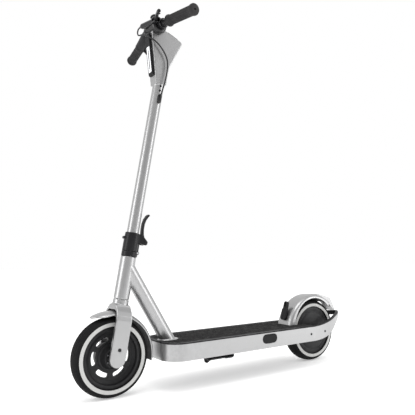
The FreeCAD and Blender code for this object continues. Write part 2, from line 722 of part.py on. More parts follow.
def make_chassis():
    make_deck()
    make_frame_tubes()
    make_deck_contents()
    make_deck_screws()
    make_rear_end()
    make_rear_fender()
    make_kickstand()


# ---- Wheels -------------------------------------------------------------------------------------------
def make_tyre(label, wheel):
    half, radius = D["tyre_half_width"], D["wheel_radius"]
    bead = D["rim_seat"] + 0.1
    section = [(bead, 16.5), (85.5, 16.8), (86, half), (97, half), (radius - 7.5, half - 3.5),
               (radius - 2.5, half - 10.5), (radius, 5)]
    mirror = [(r, -x) for r, x in reversed(section)]
    tyre = turned(label + "_body", section + mirror)
    node(tyre, label, wheel)


def make_front_wheel():
    make_tyre("front_tyre", FRONT_WHEEL)
    seat, flange, edge, web = D["rim_seat"], D["rim_flange"], D["rim_half_width"], D["web_half"]
    hub, drum_in, drum_out = D["hub_half_width"], D["drum_inner"], D["drum_outer"]
    bore = D["bearing_outer"]
    rim = turned("front_rim_body", [
        (bore, -11), (drum_in, -11), (drum_in, -hub), (drum_out, -hub), (drum_out, -(web + 1)),
        (66, -web), (70, -(web + 5)), (70, -edge), (flange, -edge), (flange, -(edge - 2)), (seat, -(edge - 2.5)),
        (seat, edge - 2.5), (flange, edge - 2), (flange, edge), (70, edge), (70, web + 5), (66, web),
        (34, web + 1), (30, hub - 8), (27, hub), (bore, hub)])
    # One arc-shaped window, repeated round the web.
    steps = 4
    spread = math.radians(V["slot_degrees"])
    angles = [-spread / 2 + spread * i / steps for i in range(steps + 1)]
    inner, outer = V["slot_inner"], V["slot_outer"]
    window = [(outer * math.cos(a), outer * math.sin(a)) for a in angles]
    window += [(inner * math.cos(a), inner * math.sin(a)) for a in reversed(angles)]
    slot = pocket(rim, "rim_slot", "XY_Plane", window, 30)
    doc.recompute()
    pattern = rim.newObject("PartDesign::PolarPattern", "rim_slots")
    pattern.Originals = [slot]
    pattern.Axis = (slot.Profile[0], ["N_Axis"])
    pattern.Angle = 360
    pattern.Occurrences = int(V["slot_count"])
    rim.Tip = pattern
    turn = Placement(Vector(), Rotation(Vector(0, 0, 1), 30))
    node(rim, "front_rim", FRONT_WHEEL.multiply(turn))

    width = D["bearing_width"]
    rings = [ring(f"front_bearing_{i}", D["axle"] + D["running_gap"], bore - 0.02, width, (0, 0, at))
             for i, at in enumerate((-10, 20))]
    node(group("front_bearing_pair", *rings), "front_bearings", FRONT_WHEEL)


def make_rear_wheel():
    make_tyre("rear_tyre", REAR_WHEEL)
    seat, flange, edge = D["rim_seat"], D["rim_flange"], D["rim_half_width"]
    shell = turned("motor_shell_body", [
        (65, -(edge - 1)), (70, -(edge - 1)), (70, -edge), (flange, -edge), (flange, -(edge - 2)),
        (seat, -(edge - 2.5)), (seat, edge - 2.5), (flange, edge - 2), (flange, edge), (70, edge),
        (70, edge - 1), (65, edge - 1)])
    node(shell, "motor_shell", REAR_WHEEL)
    covers = []
    for side in (-1, 1):
        bore = D["motor_axle"] + D["running_gap"]
        profile = [(bore, 17), (bore, 29), (22, 29), (27, 26.5), (60, 25.5), (67, 22), (79, 21.5), (79, 19.55),
                   (69.9, 19.55), (69.9, 18.6), (60, 18.6), (56, 20.5), (22, 21), (20, 17)]
        covers.append(turned(f"motor_cover_{'left' if side > 0 else 'right'}",
                             [(r, side * x) for r, x in profile]))
    node(group("motor_cover_pair", *covers), "motor_covers", REAR_WHEEL)


# ---- Steering -----------------------------------------------------------------------------------------
def make_fork():
    inner, outer, depth = V["leg_inner"], V["leg_outer"], V["leg_half_depth"]
    top, arch = V["crown_top"], V["crown_inner"]
    shoulder = 16
    front_view = [(-outer, -depth), (-outer, top - 36), (-outer + 3, top - 25), (-outer + 10, top - 14),
                  (-depth - 8, top - 6), (-depth - 2, top), (-depth, top + 8), (-depth, V["head_tube_low"] - 0.6)]
    front_view += [(-x, z) for x, z in reversed(front_view)]
    front_view += [(inner, -depth), (inner, arch - shoulder), (inner - 5, arch - 5), (inner - shoulder, arch),
                   (-inner + shoulder, arch), (-inner + 5, arch - 5), (-inner, arch - shoulder), (-inner, -depth)]
    blank = padded("fork_blank", "XZ_Plane", front_view, 2 * depth)
    # Seen from the side the legs are straight with round ends, and the crown narrows to a round neck.
    legs = box_shape((-80, -depth, 0), (80, depth, top - 4))
    legs = legs.fuse(Part.makeCylinder(depth, 160, Vector(-80, 0, 0), Vector(1, 0, 0)))
    low = arch + 2
    neck_radius = depth - 0.2
    neck = Part.makeCylinder(neck_radius, 60, Vector(0, 0, top - 6))
    blend = Part.makeCone(80, neck_radius, 22, Vector(0, 0, top - 16))
    side_view = freeform("fork_side_view", legs.fuse(neck).fuse(
        blend.common(box_shape((-80, -depth, top - 16), (80, depth, top + 6)))))
    fork = shared("fork_form", blank, side_view)
    tools = [rod("fork_steerer_bore", D["steerer_outer"], 40, (0, 0, low))]
    for side in (-1, 1):
        seat = (side * inner, AXLE_IN_FORK, 0)
        tools.append(rod(f"fork_axle_bore_{side + 1}", D["axle"] + 0.02, 8.5, seat, (side, 0, 0)))
        tools.append(rod(f"fork_screw_bore_{side + 1}", 4.52, 5, (side * (outer - 3), 0, 25), (side, 0, 0)))
    fork = less("fork_bored", fork, joined("fork_bores", *tools))
    node(fork, "fork", STEER)
    screws = [rod(f"fork_screw_{side + 1}", 4.5, 3.4, (side * (outer - 3), 0, 25), (side, 0, 0))
              for side in (-1, 1)]
    node(group("fork_screw_pair", *screws), "fork_screws", STEER)

    axle = rod("front_axle_rod", D["axle"], 2 * inner + 16, (-inner - 8, AXLE_IN_FORK, 0), (1, 0, 0))
    node(axle, "front_axle")
    nodes[-1].Placement = STEER.multiply(nodes[-1].Placement)
    steerer = turned("steerer_body", [
        (11.5, low), (D["steerer_outer"], low), (D["steerer_outer"], 296), (11.5, 296)])
    node(steerer, "steerer_tube", STEER)


def make_front_fender():
    front_degrees, rear_degrees = 29, 101
    half, outer, wall = D["front_fender_half"], D["front_fender_outer"], D["fender_wall"]
    section = [(outer - 8, half), (outer - 3.5, half - 5), (outer - 1, half - 14), (outer, half - 24),
               (outer, -(half - 24)), (outer - 1, -(half - 14)), (outer - 3.5, -(half - 5)), (outer - 8, -half)]
    inner = [(r - wall, x * 0.97) for r, x in section]
    body = turned("front_fender_body", section + inner[::-1], front_degrees + rear_degrees)
    placed = fender_placement(FRONT_WHEEL, rear_degrees)
    body.Placement = placed
    # The front tip comes to a point, and the rear end is rounded.
    half_tip = [(60, -140), (60, -26), (34, -26), (24, -48), (8, -59)]
    around = half_tip + [(-x, y) for x, y in reversed(half_tip)]
    tip = [Vector(x, y, 0) for x, y in around]
    clear = Part.Face(Part.makePolygon(tip + tip[:1])).extrude(Vector(0, 0, 200))
    clear.translate(Vector(0, FRONT_AXLE_Y, V["wheel_radius"]))
    fender = less("front_fender_pointed", body, freeform("front_fender_tip", clear))
    rounding = Part.makeCylinder(34, 140, Vector(0, 40, 10), Vector(0, 1, 0))
    corner = box_shape((-60, 60, -60), (60, 160, 8)).cut(rounding)
    corner.translate(Vector(0, FRONT_AXLE_Y, V["wheel_radius"]))
    fender = less("front_fender_rounded", fender, freeform("front_fender_end", corner))
    node(fender, "front_fender")


def make_drum_brake():
    hub = V["hub_half_width"]
    plate = turned("brake_plate_body", [
        (D["axle"] + 0.02, -(hub + 3.6)), (37, -(hub + 3.6)), (37, -(hub + 0.8)), (32, -(hub + 0.8)),
        (D["axle"] + 0.02, -(hub + 0.8))])
    node(plate, "brake_plate", FRONT_WHEEL)
    # The arm turns on a pin in the plate, behind the right fork leg.
    arm = padded("brake_arm_body", "YZ_Plane", [
        (4, 14), (20, 14), (52, 26), (54, 34), (46, 36), (16, 26), (4, 24)], 2.4, -(hub + 6.2), True)
    fillet(arm, 1.5, runs_along((1, 0, 0)))
    boss = rod("brake_arm_boss", 6, 3.4, (-hub - 7.4, 10, 19), (1, 0, 0))
    eye = rod("brake_arm_eye", 2.5, 20, (-hub - 15, 10, 19), (1, 0, 0))
    node(less("brake_arm_bored", joined("brake_arm_solid", arm, boss), eye), "brake_arm", STEER)


KNUCKLE = 5.2


def make_fold_base():
    outer, split = D["head_tube_outer"], D["fold_split"]
    collar = turned("fold_collar_body", [
        (D["steerer_outer"], D["head_tube_high"] + 0.6), (outer, D["head_tube_high"] + 0.6),
        (outer, split - 0.3), (D["steerer_outer"], split - 0.3)])
    back, up = D["fold_pin_back"], D["fold_pin_up"]
    parts = [collar]
    for side in (-1, 1):
        low_x, high_x = sorted((side * 8.5, side * 13.5))
        parts.append(block(f"fold_ear_{side + 1}", (low_x, 12, V["head_tube_high"] + 2),
                           (high_x, number(back), number(up))))
        parts.append(rod(f"fold_knuckle_{side + 1}", KNUCKLE, 5, (low_x, back, up), (1, 0, 0)))
    solid = joined("fold_base_solid", *parts)
    pin_hole = rod("fold_base_hole", 3.02, 60, (-30, back, up), (1, 0, 0))
    upper_room = rod("fold_upper_room", KNUCKLE + 0.6, 17, (-8.5, back, up), (1, 0, 0))
    steerer_room = rod("fold_steerer_room", D["steerer_outer"], 40, (0, 0, 270))
    room = joined("fold_base_room", pin_hole, upper_room, steerer_room)
    node(less("fold_base_cut", solid, room), "fold_base", STEER)
    node(rod("fold_pin_rod", 3, 29, (-14.5, back, up), (1, 0, 0)), "fold_pin")
    nodes[-1].Placement = STEER.multiply(nodes[-1].Placement)


def make_steering():
    make_fork()
    make_front_fender()
    make_drum_brake()
    make_fold_base()


# ---- Stem, fold collar and latch ----------------------------------------------------------------------
def make_stem():
    stem = turned("stem_body", [
        (D["stem_inner"], D["stem_low"]), (D["stem_outer"], D["stem_low"]),
        (D["stem_outer"], D["stem_high"]), (D["stem_inner"], D["stem_high"])])
    grommet_hole = rod("stem_cable_hole", 4, 12, (12, 2, 783), (1, 0, 0))
    node(less("stem_with_hole", stem, grommet_hole), "stem_tube", STEER)

    outer, split, top = D["head_tube_outer"], D["fold_split"], D["clamp_top"]
    back, up = D["fold_pin_back"], D["fold_pin_up"]
    latch_back, latch_up = D["latch_back"], D["latch_up"]
    collar = turned("clamp_collar_body", [(0, split + 0.3), (outer, split + 0.3), (outer, split + 30),
                                          (outer - 1, top), (0, top)])
    parts = [collar, rod("clamp_knuckle", KNUCKLE, 16, (-8, back, up), (1, 0, 0)),
             block("clamp_neck", (-8, 12, V["fold_split"] + 0.3), (8, number(back) + 4.4, V["fold_split"] + 26)),
             rod("clamp_nub", 4.5, 12, (-6, -24, 338), (1, 0, 0)),
             block("clamp_nub_root", (-6, -24, 333.5), (6, -14, 342.5))]
    for side in (-1, 1):
        ear = padded(f"latch_ear_{side + 1}", "YZ_Plane", [
            (14, 326), (21, 329), (32, 326.5), (latch_back - 4, latch_up - 7.6), (latch_back + 4, latch_up - 7.2),
            (latch_back + 7.6, latch_up - 3), (latch_back + 7.6, latch_up + 4), (33, 350), (27, 354.5), (14, 354.5)],
            4, side * 10.5)
        parts.append(ear)
    parts.append(rod("latch_pin_rod", 3, 27, (-13.5, latch_back, latch_up), (1, 0, 0)))
    solid = joined("clamp_solid", *parts)
    room = joined("clamp_room",
                  rod("clamp_stem_bore", D["stem_outer"] + 0.02, 80, (0, 0, D["stem_low"] - 0.02)),
                  rod("clamp_pin_bore", 3.05, 60, (-30, back, up), (1, 0, 0)))
    knuckles = [rod(f"clamp_knuckle_room_{side + 1}", KNUCKLE + 0.6, 8, (side * 8.2, back, up), (side, 0, 0))
                for side in (-1, 1)]
    room = joined("clamp_all_room", room, *knuckles)
    low_cut = block("clamp_low_cut", (-30, -30, 280), (30, number(back) - KNUCKLE - 0.2, V["fold_split"] + 0.3))
    node(less("stem_clamp_cut", less("stem_clamp_bored", solid, room), low_cut), "stem_clamp", STEER)

    lever = padded("latch_lever_body", "YZ_Plane", [
        (latch_back - 6.5, latch_up - 4), (latch_back - 2, latch_up - 6.5), (latch_back + 4, latch_up - 5.5),
        (latch_back + 6.5, latch_up + 1), (39, 345), (34, 357), (31.5, 372), (31.5, 388), (34, 400), (40, 412),
        (44, 417), (39.5, 421), (35, 416.5), (28.5, 404), (25.8, 390), (25.6, 372), (27, 358), (30, 346)], 14.4)
    fillet(lever, 1.2, runs_along((1, 0, 0)))
    bored = less("latch_lever_bored", lever, rod("latch_bore", 3.05, 40, (-20, latch_back, latch_up), (1, 0, 0)))
    node(bored, "latch_lever", STEER)


# Side outline of the head casting, from the bar's centre: (back, up), front edge first.
HEAD_SIDE = [(-4, -186), (-7, -154), (-18, -50), (-20, -17), (20, -17), (27, -7), (34, -10), (80, -29),
             (87, -33), (89, -39), (86, -46), (63, -87), (44, -124), (37, -154), (32, -186)]
HEAD_HALF = 23
LENS_LOW = -147
LENS_HIGH = -66


def front_line(up):
    """How far back the head casting's front edge is at a height."""
    low, high = HEAD_SIDE[1], HEAD_SIDE[2]
    return low[0] + (high[0] - low[0]) * (up - low[1]) / (high[1] - low[1])


def stem_in_head(radius):
    """The stem's cylinder, placed in the head frame."""
    cylinder = Part.makeCylinder(radius, 1000)
    cylinder.Placement = HEAD.inverse().multiply(STEER)
    return cylinder


def make_head():
    head = padded("head_body", "YZ_Plane", HEAD_SIDE, 2 * HEAD_HALF)
    # Seen from the front the casting narrows to the stem.
    waist = 19.2
    for side in (-1, 1):
        pocket(head, f"head_waist_{'left' if side > 0 else 'right'}", "XZ_Plane", [
            (side * waist, -200), (side * 60, -200), (side * 60, -60), (side * (HEAD_HALF - 0.2), -110),
            (side * waist, -170)], 300)

    room = stem_in_head(V["stem_outer"] + 0.02)
    room = room.fuse(Part.makeCylinder(16.3, 200, Vector(-100, 0, 0), Vector(1, 0, 0)))
    room = room.fuse(box_shape((-18, 44, -70), (18, 74, -33)))
    node(less("head_hollow", head, freeform("head_room", room)), "head_shell", HEAD)

    # Display glass on the sloping top, and its button.
    slope = math.atan2(29 - 10, 80 - 34)
    glass = box_shape((-20, 2, 0.1), (20, 44, 2.6))
    glass = glass.makeFillet(4, [e for e in glass.Edges if abs(e.tangentAt(0).z) > 0.99])
    hole = Part.makeCylinder(6.4, 10, Vector(0, 35, -2))
    glass = glass.cut(hole)
    rest = Placement(Vector(0, 34, -10), Rotation(Vector(1, 0, 0), -math.degrees(slope)))
    display = freeform("display_shape", glass)
    node(display, "display_panel", HEAD.multiply(rest))
    button = turned("power_button_body", [(0, 0.9), (6, 0.9), (6, 3), (5.2, 3.8), (0, 3.8)])
    node(button, "power_button", HEAD.multiply(rest).multiply(Placement(Vector(0, 35, 0), Rotation())))

    # Black headlight strip down the front, with its lens let into it.
    def strip(name, low, high, half, back, thickness):
        return padded(name, "YZ_Plane", [
            (front_line(low) - back, low), (front_line(low) - back - thickness, low),
            (front_line(high) - back - thickness, high), (front_line(high) - back, high)], 2 * half)

    bezel = padded("bezel_body", "YZ_Plane", [
        (front_line(-158) - 0.1, -158), (front_line(-158) - 6, -156.5), (front_line(-152) - 8, -152),
        (front_line(-52) - 8, -52), (-27, -29), (-23, -23.2), (HEAD_SIDE[3][0] - 0.1, -23.2),
        (HEAD_SIDE[2][0] - 0.1, HEAD_SIDE[2][1])], 27)
    fillet(bezel, 3, runs_along((0, front_line(-60) - front_line(-160), 100)))
    recess = strip("lens_recess", LENS_LOW - 0.3, LENS_HIGH + 0.3, 9.3, 5, 6)
    node(less("bezel_open", bezel, recess), "headlight_bezel", HEAD)
    lens = strip("lens_body", LENS_LOW, LENS_HIGH, 9, 5.05, 2.3)
    node(lens, "headlight_lens", HEAD)

    # Two screws each side below the head, and the grommet where the cable goes in.
    screws = []
    for side in (-1, 1):
        for i, up in enumerate((811, 826)):
            screws.append(rod(f"head_screw_{side + 1}_{i}", 3.5, 2.2, (side * (V["stem_outer"] - 1.2), 0, up),
                              (side, 0, 0)))
    holes = stem_plain()
    cut = [less(f"{screw.Name}_seated", screw, holes) for screw in screws]
    node(group("head_screw_set", *cut), "head_screws", STEER)


def stem_plain():
    """The stem's outside as a tool for pieces that sit on it."""
    return rod("stem_outside", D["stem_outer"] + 0.02, 700, (0, 0, 300))


def make_grommet(cable):
    plug = box_shape((13, -4, 774), (22, 8, 792))
    for up in (774, 792):
        plug = plug.fuse(Part.makeCylinder(6, 9, Vector(13, 2, up), Vector(1, 0, 0)))
    spigot = plug.removeSplitter()
    outside = Part.makeCylinder(V["stem_outer"] + 0.02, 200, Vector(0, 0, 700))
    cable = cable.copy()
    cable.Placement = STEER.inverse().multiply(HEAD)
    spigot = spigot.cut(outside).cut(cable)
    node(freeform("grommet_shape", spigot), "cable_grommet", STEER)


# ---- Handlebar and controls ---------------------------------------------------------------------------
BAR_STRAIGHT = 30


def bar_end(side):
    return Vector(side * V["bar_half_length"], V["bar_back"], -V["bar_drop"])


def bar_frame(side, across):
    """A frame on the bar's axis, its z pointing outwards, where the bar is this far across."""
    start = Vector(side * BAR_STRAIGHT, 0, 0)
    direction = (bar_end(side) - start).normalize()
    share = (across - BAR_STRAIGHT) / (V["bar_half_length"] - BAR_STRAIGHT)
    spot = start + (bar_end(side) - start) * share
    up = Vector(0, 0, 1) - direction * direction.z
    turn = Rotation(up.cross(direction).normalize(), up.normalize(), direction, "ZYX")
    return HEAD.multiply(Placement(spot, turn))


# The hood is a smooth barrel round the bar's middle: radius, and its axis from the bar's centre.
HOOD_RADIUS = 25.5
HOOD_LOW = -31
HOOD_HIGH = 43
HOOD_AXIS = (-1.8, -3.6)
CLOSE = 0.02


def hood_room():
    """The hood's space, in the head frame."""
    start = Vector(HOOD_LOW, HOOD_AXIS[0], HOOD_AXIS[1])
    return Part.makeCylinder(HOOD_RADIUS + CLOSE, HOOD_HIGH - HOOD_LOW, start, Vector(1, 0, 0))


def bar_path(shorter=0):
    """The bar's corners from end to end, each end made shorter by an amount."""
    ends = [bar_end(side) for side in (-1, 1)]
    trims = [(end - Vector(math.copysign(BAR_STRAIGHT, end.x), 0, 0)).normalize() * shorter for end in ends]
    return [ends[0] - trims[0], Vector(-BAR_STRAIGHT, 0, 0), Vector(BAR_STRAIGHT, 0, 0), ends[1] - trims[1]]


BEND_SHARE = 0.13


def make_bar():
    solid = tube_along(bar_path(4), V["bar_tube"], V["bar_tube"] - 2.2, BEND_SHARE)[0]
    node(freeform("handlebar_shape", solid), "handlebar", HEAD)
    # Smooth black hood over the bar's middle, seated on the casting's top.
    barrel = turned("hood_body", [
        (0, HOOD_LOW), (HOOD_RADIUS - 7, HOOD_LOW), (HOOD_RADIUS - 2.5, HOOD_LOW + 2.5),
        (HOOD_RADIUS, HOOD_LOW + 8), (HOOD_RADIUS, HOOD_HIGH - 8), (HOOD_RADIUS - 2.5, HOOD_HIGH - 2.5),
        (HOOD_RADIUS - 7, HOOD_HIGH), (0, HOOD_HIGH)])
    barrel.Placement = Placement(Vector(0, *HOOD_AXIS), ALONG_X)
    bore = tube_along(bar_path(), V["bar_tube"] + CLOSE, 0, BEND_SHARE)[0]
    seat = box_shape((-HEAD_HALF - 0.1, HEAD_SIDE[3][0] - 0.1, -80), (HEAD_HALF + 0.1, 60, HEAD_SIDE[3][1]))
    node(less("hood_cut", barrel, freeform("hood_room", bore.fuse(seat))), "bar_hood", HEAD)


def make_grip(label, side, start, flange):
    """A rubber grip with a flange at its inner end and a rounded outer end."""
    length = (V["bar_half_length"] - start) / math.cos(math.atan2(
        math.hypot(V["bar_back"], V["bar_drop"]), V["bar_half_length"] - BAR_STRAIGHT)) - 2
    bore, outer = D["bar_tube"] + 0.02, D["grip_outer"]
    grip = turned(label + "_body", [
        (bore, 0), (outer + flange, 0), (outer + flange, 3.5), (outer, 6), (outer, length - 12),
        (outer + 2, length - 10), (outer + 2, length - 4), (outer - 1, length), (0, length), (0, length - 1.4),
        (bore, length - 1.4)])
    node(grip, label, bar_frame(side, start))


def make_throttle():
    bore = D["bar_tube"] + 0.02
    housing = turned("throttle_body", [
        (bore, 0), (17, 0), (20, 4), (20, 30), (17.5, 70), (17.5, 74), (bore, 74)])
    node(housing, "throttle_housing", bar_frame(-1, 38))
    collar = ring("throttle_collar", D["bar_tube"] + 0.35, 17, 7)
    place = bar_frame(-1, 112.4)
    turn = Placement(Vector(), Rotation(Vector(0, 0, 1), 130))
    thumb = box_shape((-5, 13, 0.2), (5, 31, 6.8)).cut(Part.makeCylinder(13, 20, Vector(0, 0, -5)))
    pad = box_shape((-7, 26, -13), (7, 30.5, 6.8))
    pad = pad.makeFillet(3, [e for e in pad.Edges if abs(e.tangentAt(0).y) > 0.99])
    lever = freeform("throttle_thumb", thumb.fuse(pad))
    node(joined("throttle_lever_solid", collar, lever), "throttle_lever", place.multiply(turn))


LEVER_PIVOT = Vector(50, -22, 1)
LEVER_TILT = 8.3
PERCH_INNER = Vector(-12, -36.5, 4)
PERCH_RADIUS = 8.5
PERCH_NOSE = 10


def make_brake_lever():
    tilt = Placement(LEVER_PIVOT, Rotation(Vector(0, 1, 0), LEVER_TILT))

    def tilted(shape):
        shape.Placement = tilt.multiply(shape.Placement)
        return shape

    clamp_frame = bar_frame(1, 44)
    bore = V["bar_tube"] + CLOSE
    clamp = turned_solid([(bore, 0), (15.5, 0), (15.5, 14), (bore, 14)])
    clamp.Placement = HEAD.inverse().multiply(clamp_frame)
    along = LEVER_PIVOT - PERCH_INNER
    barrel = Part.makeCylinder(PERCH_RADIUS, along.Length - 6, PERCH_INNER, along)
    nose = Part.makeCone(4, PERCH_RADIUS, PERCH_NOSE, PERCH_INNER - along.normalize() * PERCH_NOSE, along)
    body = box_shape((-13, -10, -8.5), (12, 10, 8.5))
    body = tilted(body.makeFillet(3, [e for e in body.Edges if abs(e.tangentAt(0).z) > 0.99]))
    slot = tilted(box_shape((-7, -18, -4.8), (20, 8, 4.8)))
    root = tilted(box_shape((-6, 8, -8.5), (8, 17, 8.5)))
    perch = body.fuse(barrel).fuse(nose).fuse(clamp).fuse(root)
    inner_bar = Part.makeCylinder(bore, 80, Vector(0, 0, -10))
    inner_bar.Placement = HEAD.inverse().multiply(bar_frame(1, BAR_STRAIGHT + 10)).multiply(inner_bar.Placement)
    perch = perch.cut(inner_bar).cut(hood_room()).cut(slot)
    perch = perch.fuse(tilted(Part.makeCylinder(2.5, 14, Vector(0, 0, -7))))
    perch = max(perch.Solids, key=lambda s: s.Volume)
    node(freeform("perch_shape", perch.removeSplitter()), "brake_perch", HEAD)

    # Blade in plan, from the pivot out to its ball end.
    blade = padded("lever_blade", "XY_Plane", [
        (-5, -6), (4, -7), (20, -13), (44, -23), (66, -30), (73, -29.5), (74, -24), (66, -22), (46, -15),
        (24, -6), (8, 3), (-2, 6), (-6, 2)], 8.8, 0, True)
    fillet(blade, 1.2, runs_along((0, 0, 1)))
    ball = doc.addObject("Part::Sphere", "lever_ball")
    ball.Radius = 5.4
    ball.Placement.Base = Vector(73, -27, 0)
    lever = joined("lever_solid", blade, ball)
    drilled = less("lever_drilled", lever, rod("lever_pivot_hole", 2.55, 20, (0, 0, -10)))
    node(drilled, "brake_lever", HEAD.multiply(tilt))


BELL_SPOT = Vector(31, -15, 15.5)
BELL_TILT = 14


def make_bell():
    place = HEAD.multiply(Placement(BELL_SPOT, Rotation(Vector(1, 0, 0), BELL_TILT)))
    base = turned("bell_base_body", [(0, 0), (9, 0), (9, 5), (0, 5)])
    dome = turned("bell_dome_body", [
        (2, 5.1), (3, 5.1), (3, 12), (9, 11.2), (11.8, 8.6), (12.2, 5.5), (13.4, 5.5), (13, 9.2), (10, 12.8),
        (3, 14.2), (0, 14.4), (0, 12.9), (2, 12.9)])
    clip = joined("bell_base_solid", base, rod("bell_post", 1.9, 8.9, (0, 0, 4)),
                  block("striker_arm", (4, -3, 1.8), (21, 3, 2.9)), rod("striker_pin", 1.2, 6.5, (18.4, 0, 1.4)))
    room = hood_room()
    room.Placement = place.inverse().multiply(HEAD)
    node(less("bell_base_cut", clip, freeform("bell_seat", room)), "bell_base", place)
    node(dome, "bell_dome", place)
    striker = padded("striker_body", "XY_Plane", [
        (15.2, -3), (22, -3), (30, 2), (29, 6), (22, 3), (15.2, 3)], 2.5, 4.2, False)
    hub = rod("striker_hub", 3.2, 4.4, (18.4, 0, 3))
    bored = less("striker_bored", joined("striker_solid", striker, hub), rod("striker_bore", 1.25, 20, (18.4, 0, 0)))
    node(bored, "bell_striker", place)


# The cable's corners after the perch's nose, from the bar's centre.
CABLE = [(-33, -41, 4.5), (-39, -42, -9), (-28, -43, -23), (-4, -42, -28), (15, -36, -38), (28, -19, -50),
         (32, -1, -64), (32.5, 15, -82), (32.5, 28, -104), (32.5, 30, -130), (32, 26, -158), (31, 20, -184),
         (29, 14, -205), (25.5, 10, -222), (20.5, 7.2, -236)]
CABLE_RADIUS = 2.3


def make_cable():
    nose = PERCH_INNER - (LEVER_PIVOT - PERCH_INNER).normalize() * PERCH_NOSE
    points = [nose] + [Vector(*p) for p in CABLE]
    solid, length, radii = tube_along(points, CABLE_RADIUS)
    print("brake cable length", round(length, 1), "radii", [round(r, 1) for r in radii])
    node(freeform("cable_shape", solid), "brake_cable", HEAD)
    return solid


def make_stem_and_bar():
    make_stem()
    make_head()
    make_bar()
    make_grip("grip_left", 1, 86, 2.8)
    make_grip("grip_right", -1, 121, 1.6)
    make_throttle()
    make_brake_lever()
    make_bell()
    make_grommet(make_cable())


def check_and_export():
    """Every object recomputed without error, every sub-part is a valid solid, then each is written."""
    doc.recompute()
    for thing in doc.Objects:
        if {"Invalid", "Error"} & set(thing.State):
            raise RuntimeError(f"{thing.Name} did not recompute: {thing.State}")
    for part in nodes:
        if part.Shape.isNull() or not part.Shape.isValid() or not part.Shape.Solids:
            raise RuntimeError(f"{part.Label} is not a valid solid")
    os.makedirs("parts", exist_ok=True)
    for part in nodes:
        part.Shape.exportStep(f"parts/{part.Label}.step")
    print(len(nodes), "nodes written")


make_chassis()
make_front_wheel()
make_rear_wheel()
make_steering()
make_stem_and_bar()
check_and_export()
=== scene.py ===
"""Looks for the electric kick scooter: smooth shells, tread, mat and materials round the fixed frame."""

import json
import math

import bmesh
import bpy
from mathutils import Matrix, Vector


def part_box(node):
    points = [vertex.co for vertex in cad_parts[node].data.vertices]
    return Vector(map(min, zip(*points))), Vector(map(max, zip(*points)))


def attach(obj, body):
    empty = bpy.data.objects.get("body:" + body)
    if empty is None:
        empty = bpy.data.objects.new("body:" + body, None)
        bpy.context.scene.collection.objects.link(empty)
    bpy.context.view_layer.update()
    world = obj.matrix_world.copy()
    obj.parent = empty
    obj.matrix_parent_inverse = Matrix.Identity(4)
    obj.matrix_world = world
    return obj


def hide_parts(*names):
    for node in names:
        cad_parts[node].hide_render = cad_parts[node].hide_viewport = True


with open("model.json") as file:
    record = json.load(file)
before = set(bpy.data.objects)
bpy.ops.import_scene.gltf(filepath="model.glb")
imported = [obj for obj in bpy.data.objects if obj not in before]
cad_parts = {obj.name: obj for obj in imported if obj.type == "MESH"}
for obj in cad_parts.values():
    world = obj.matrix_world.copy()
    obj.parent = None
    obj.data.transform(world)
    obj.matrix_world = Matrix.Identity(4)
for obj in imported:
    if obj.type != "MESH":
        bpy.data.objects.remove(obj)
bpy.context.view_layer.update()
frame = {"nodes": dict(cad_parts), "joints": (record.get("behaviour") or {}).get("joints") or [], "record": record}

MM = 0.001
nodes = frame["nodes"]
joints = {joint["name"]: joint for joint in frame["joints"]}


# ---- Places taken from the frame ------------------------------------------------------------------------
def joint_place(name):
    return Vector(joints[name]["pos_m"])


REAR_AXLE = joint_place("rear_wheel_spin")
FRONT_AXLE = joint_place("front_wheel_spin")
WHEEL_RADIUS = (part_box("front_tyre")[1].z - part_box("front_tyre")[0].z) / 2
DECK_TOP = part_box("deck_mat")[1].z

# Half bar: straight in the middle, then back and down to its ends.
BAR_AHEAD = 0.650
BAR_HEIGHT = 1.114
BAR_MIDDLE = Vector((0, REAR_AXLE.y - BAR_AHEAD, BAR_HEIGHT))
BAR_STRAIGHT = 0.030
BAR_HALF = 0.216
BAR_BACK = 0.018
BAR_DROP = 0.027


def wheel_frame(axle):
    """Turned parts have their axis on local Z; here local Z is the row's X and local X is up."""
    turn = Matrix(((0, 0, 1), (0, -1, 0), (1, 0, 0))).to_4x4()
    return Matrix.Translation(axle) @ turn


def head_frame():
    return Matrix.Translation(BAR_MIDDLE)


def bar_frame(side, across):
    """On the bar's axis with z outwards, at this distance from the middle."""
    start = Vector((side * BAR_STRAIGHT, 0, 0))
    end = Vector((side * BAR_HALF, BAR_BACK, -BAR_DROP))
    along = (end - start).normalized()
    share = (across - BAR_STRAIGHT) / (BAR_HALF - BAR_STRAIGHT)
    up = (Vector((0, 0, 1)) - along * along.z).normalized()
    forward = up.cross(along)
    turn = Matrix((forward, up, along)).transposed().to_4x4()
    return head_frame() @ Matrix.Translation(start + (end - start) * share) @ turn


# ---- Materials ------------------------------------------------------------------------------------------
def new_material(name, colour, roughness, metallic=0.0, coat=0.0, coat_roughness=0.1, ior=1.5,
                 transmission=0.0, emission=0.0, specular=0.5):
    material = bpy.data.materials.new(name)
    material.use_nodes = True
    tree = material.node_tree
    shader = tree.nodes["Principled BSDF"]
    shader.inputs["Base Color"].default_value = (*colour, 1)
    shader.inputs["Roughness"].default_value = roughness
    shader.inputs["Metallic"].default_value = metallic
    shader.inputs["Coat Weight"].default_value = coat
    shader.inputs["Coat Roughness"].default_value = coat_roughness
    shader.inputs["IOR"].default_value = ior
    shader.inputs["Transmission Weight"].default_value = transmission
    shader.inputs["Specular IOR Level"].default_value = specular
    if emission:
        shader.inputs["Emission Color"].default_value = (1, 1, 1, 1)
        shader.inputs["Emission Strength"].default_value = emission
    return material, tree, shader


def link(tree, source, target):
    tree.links.new(source, target)


NOISE_ROUGHNESS = 0.55


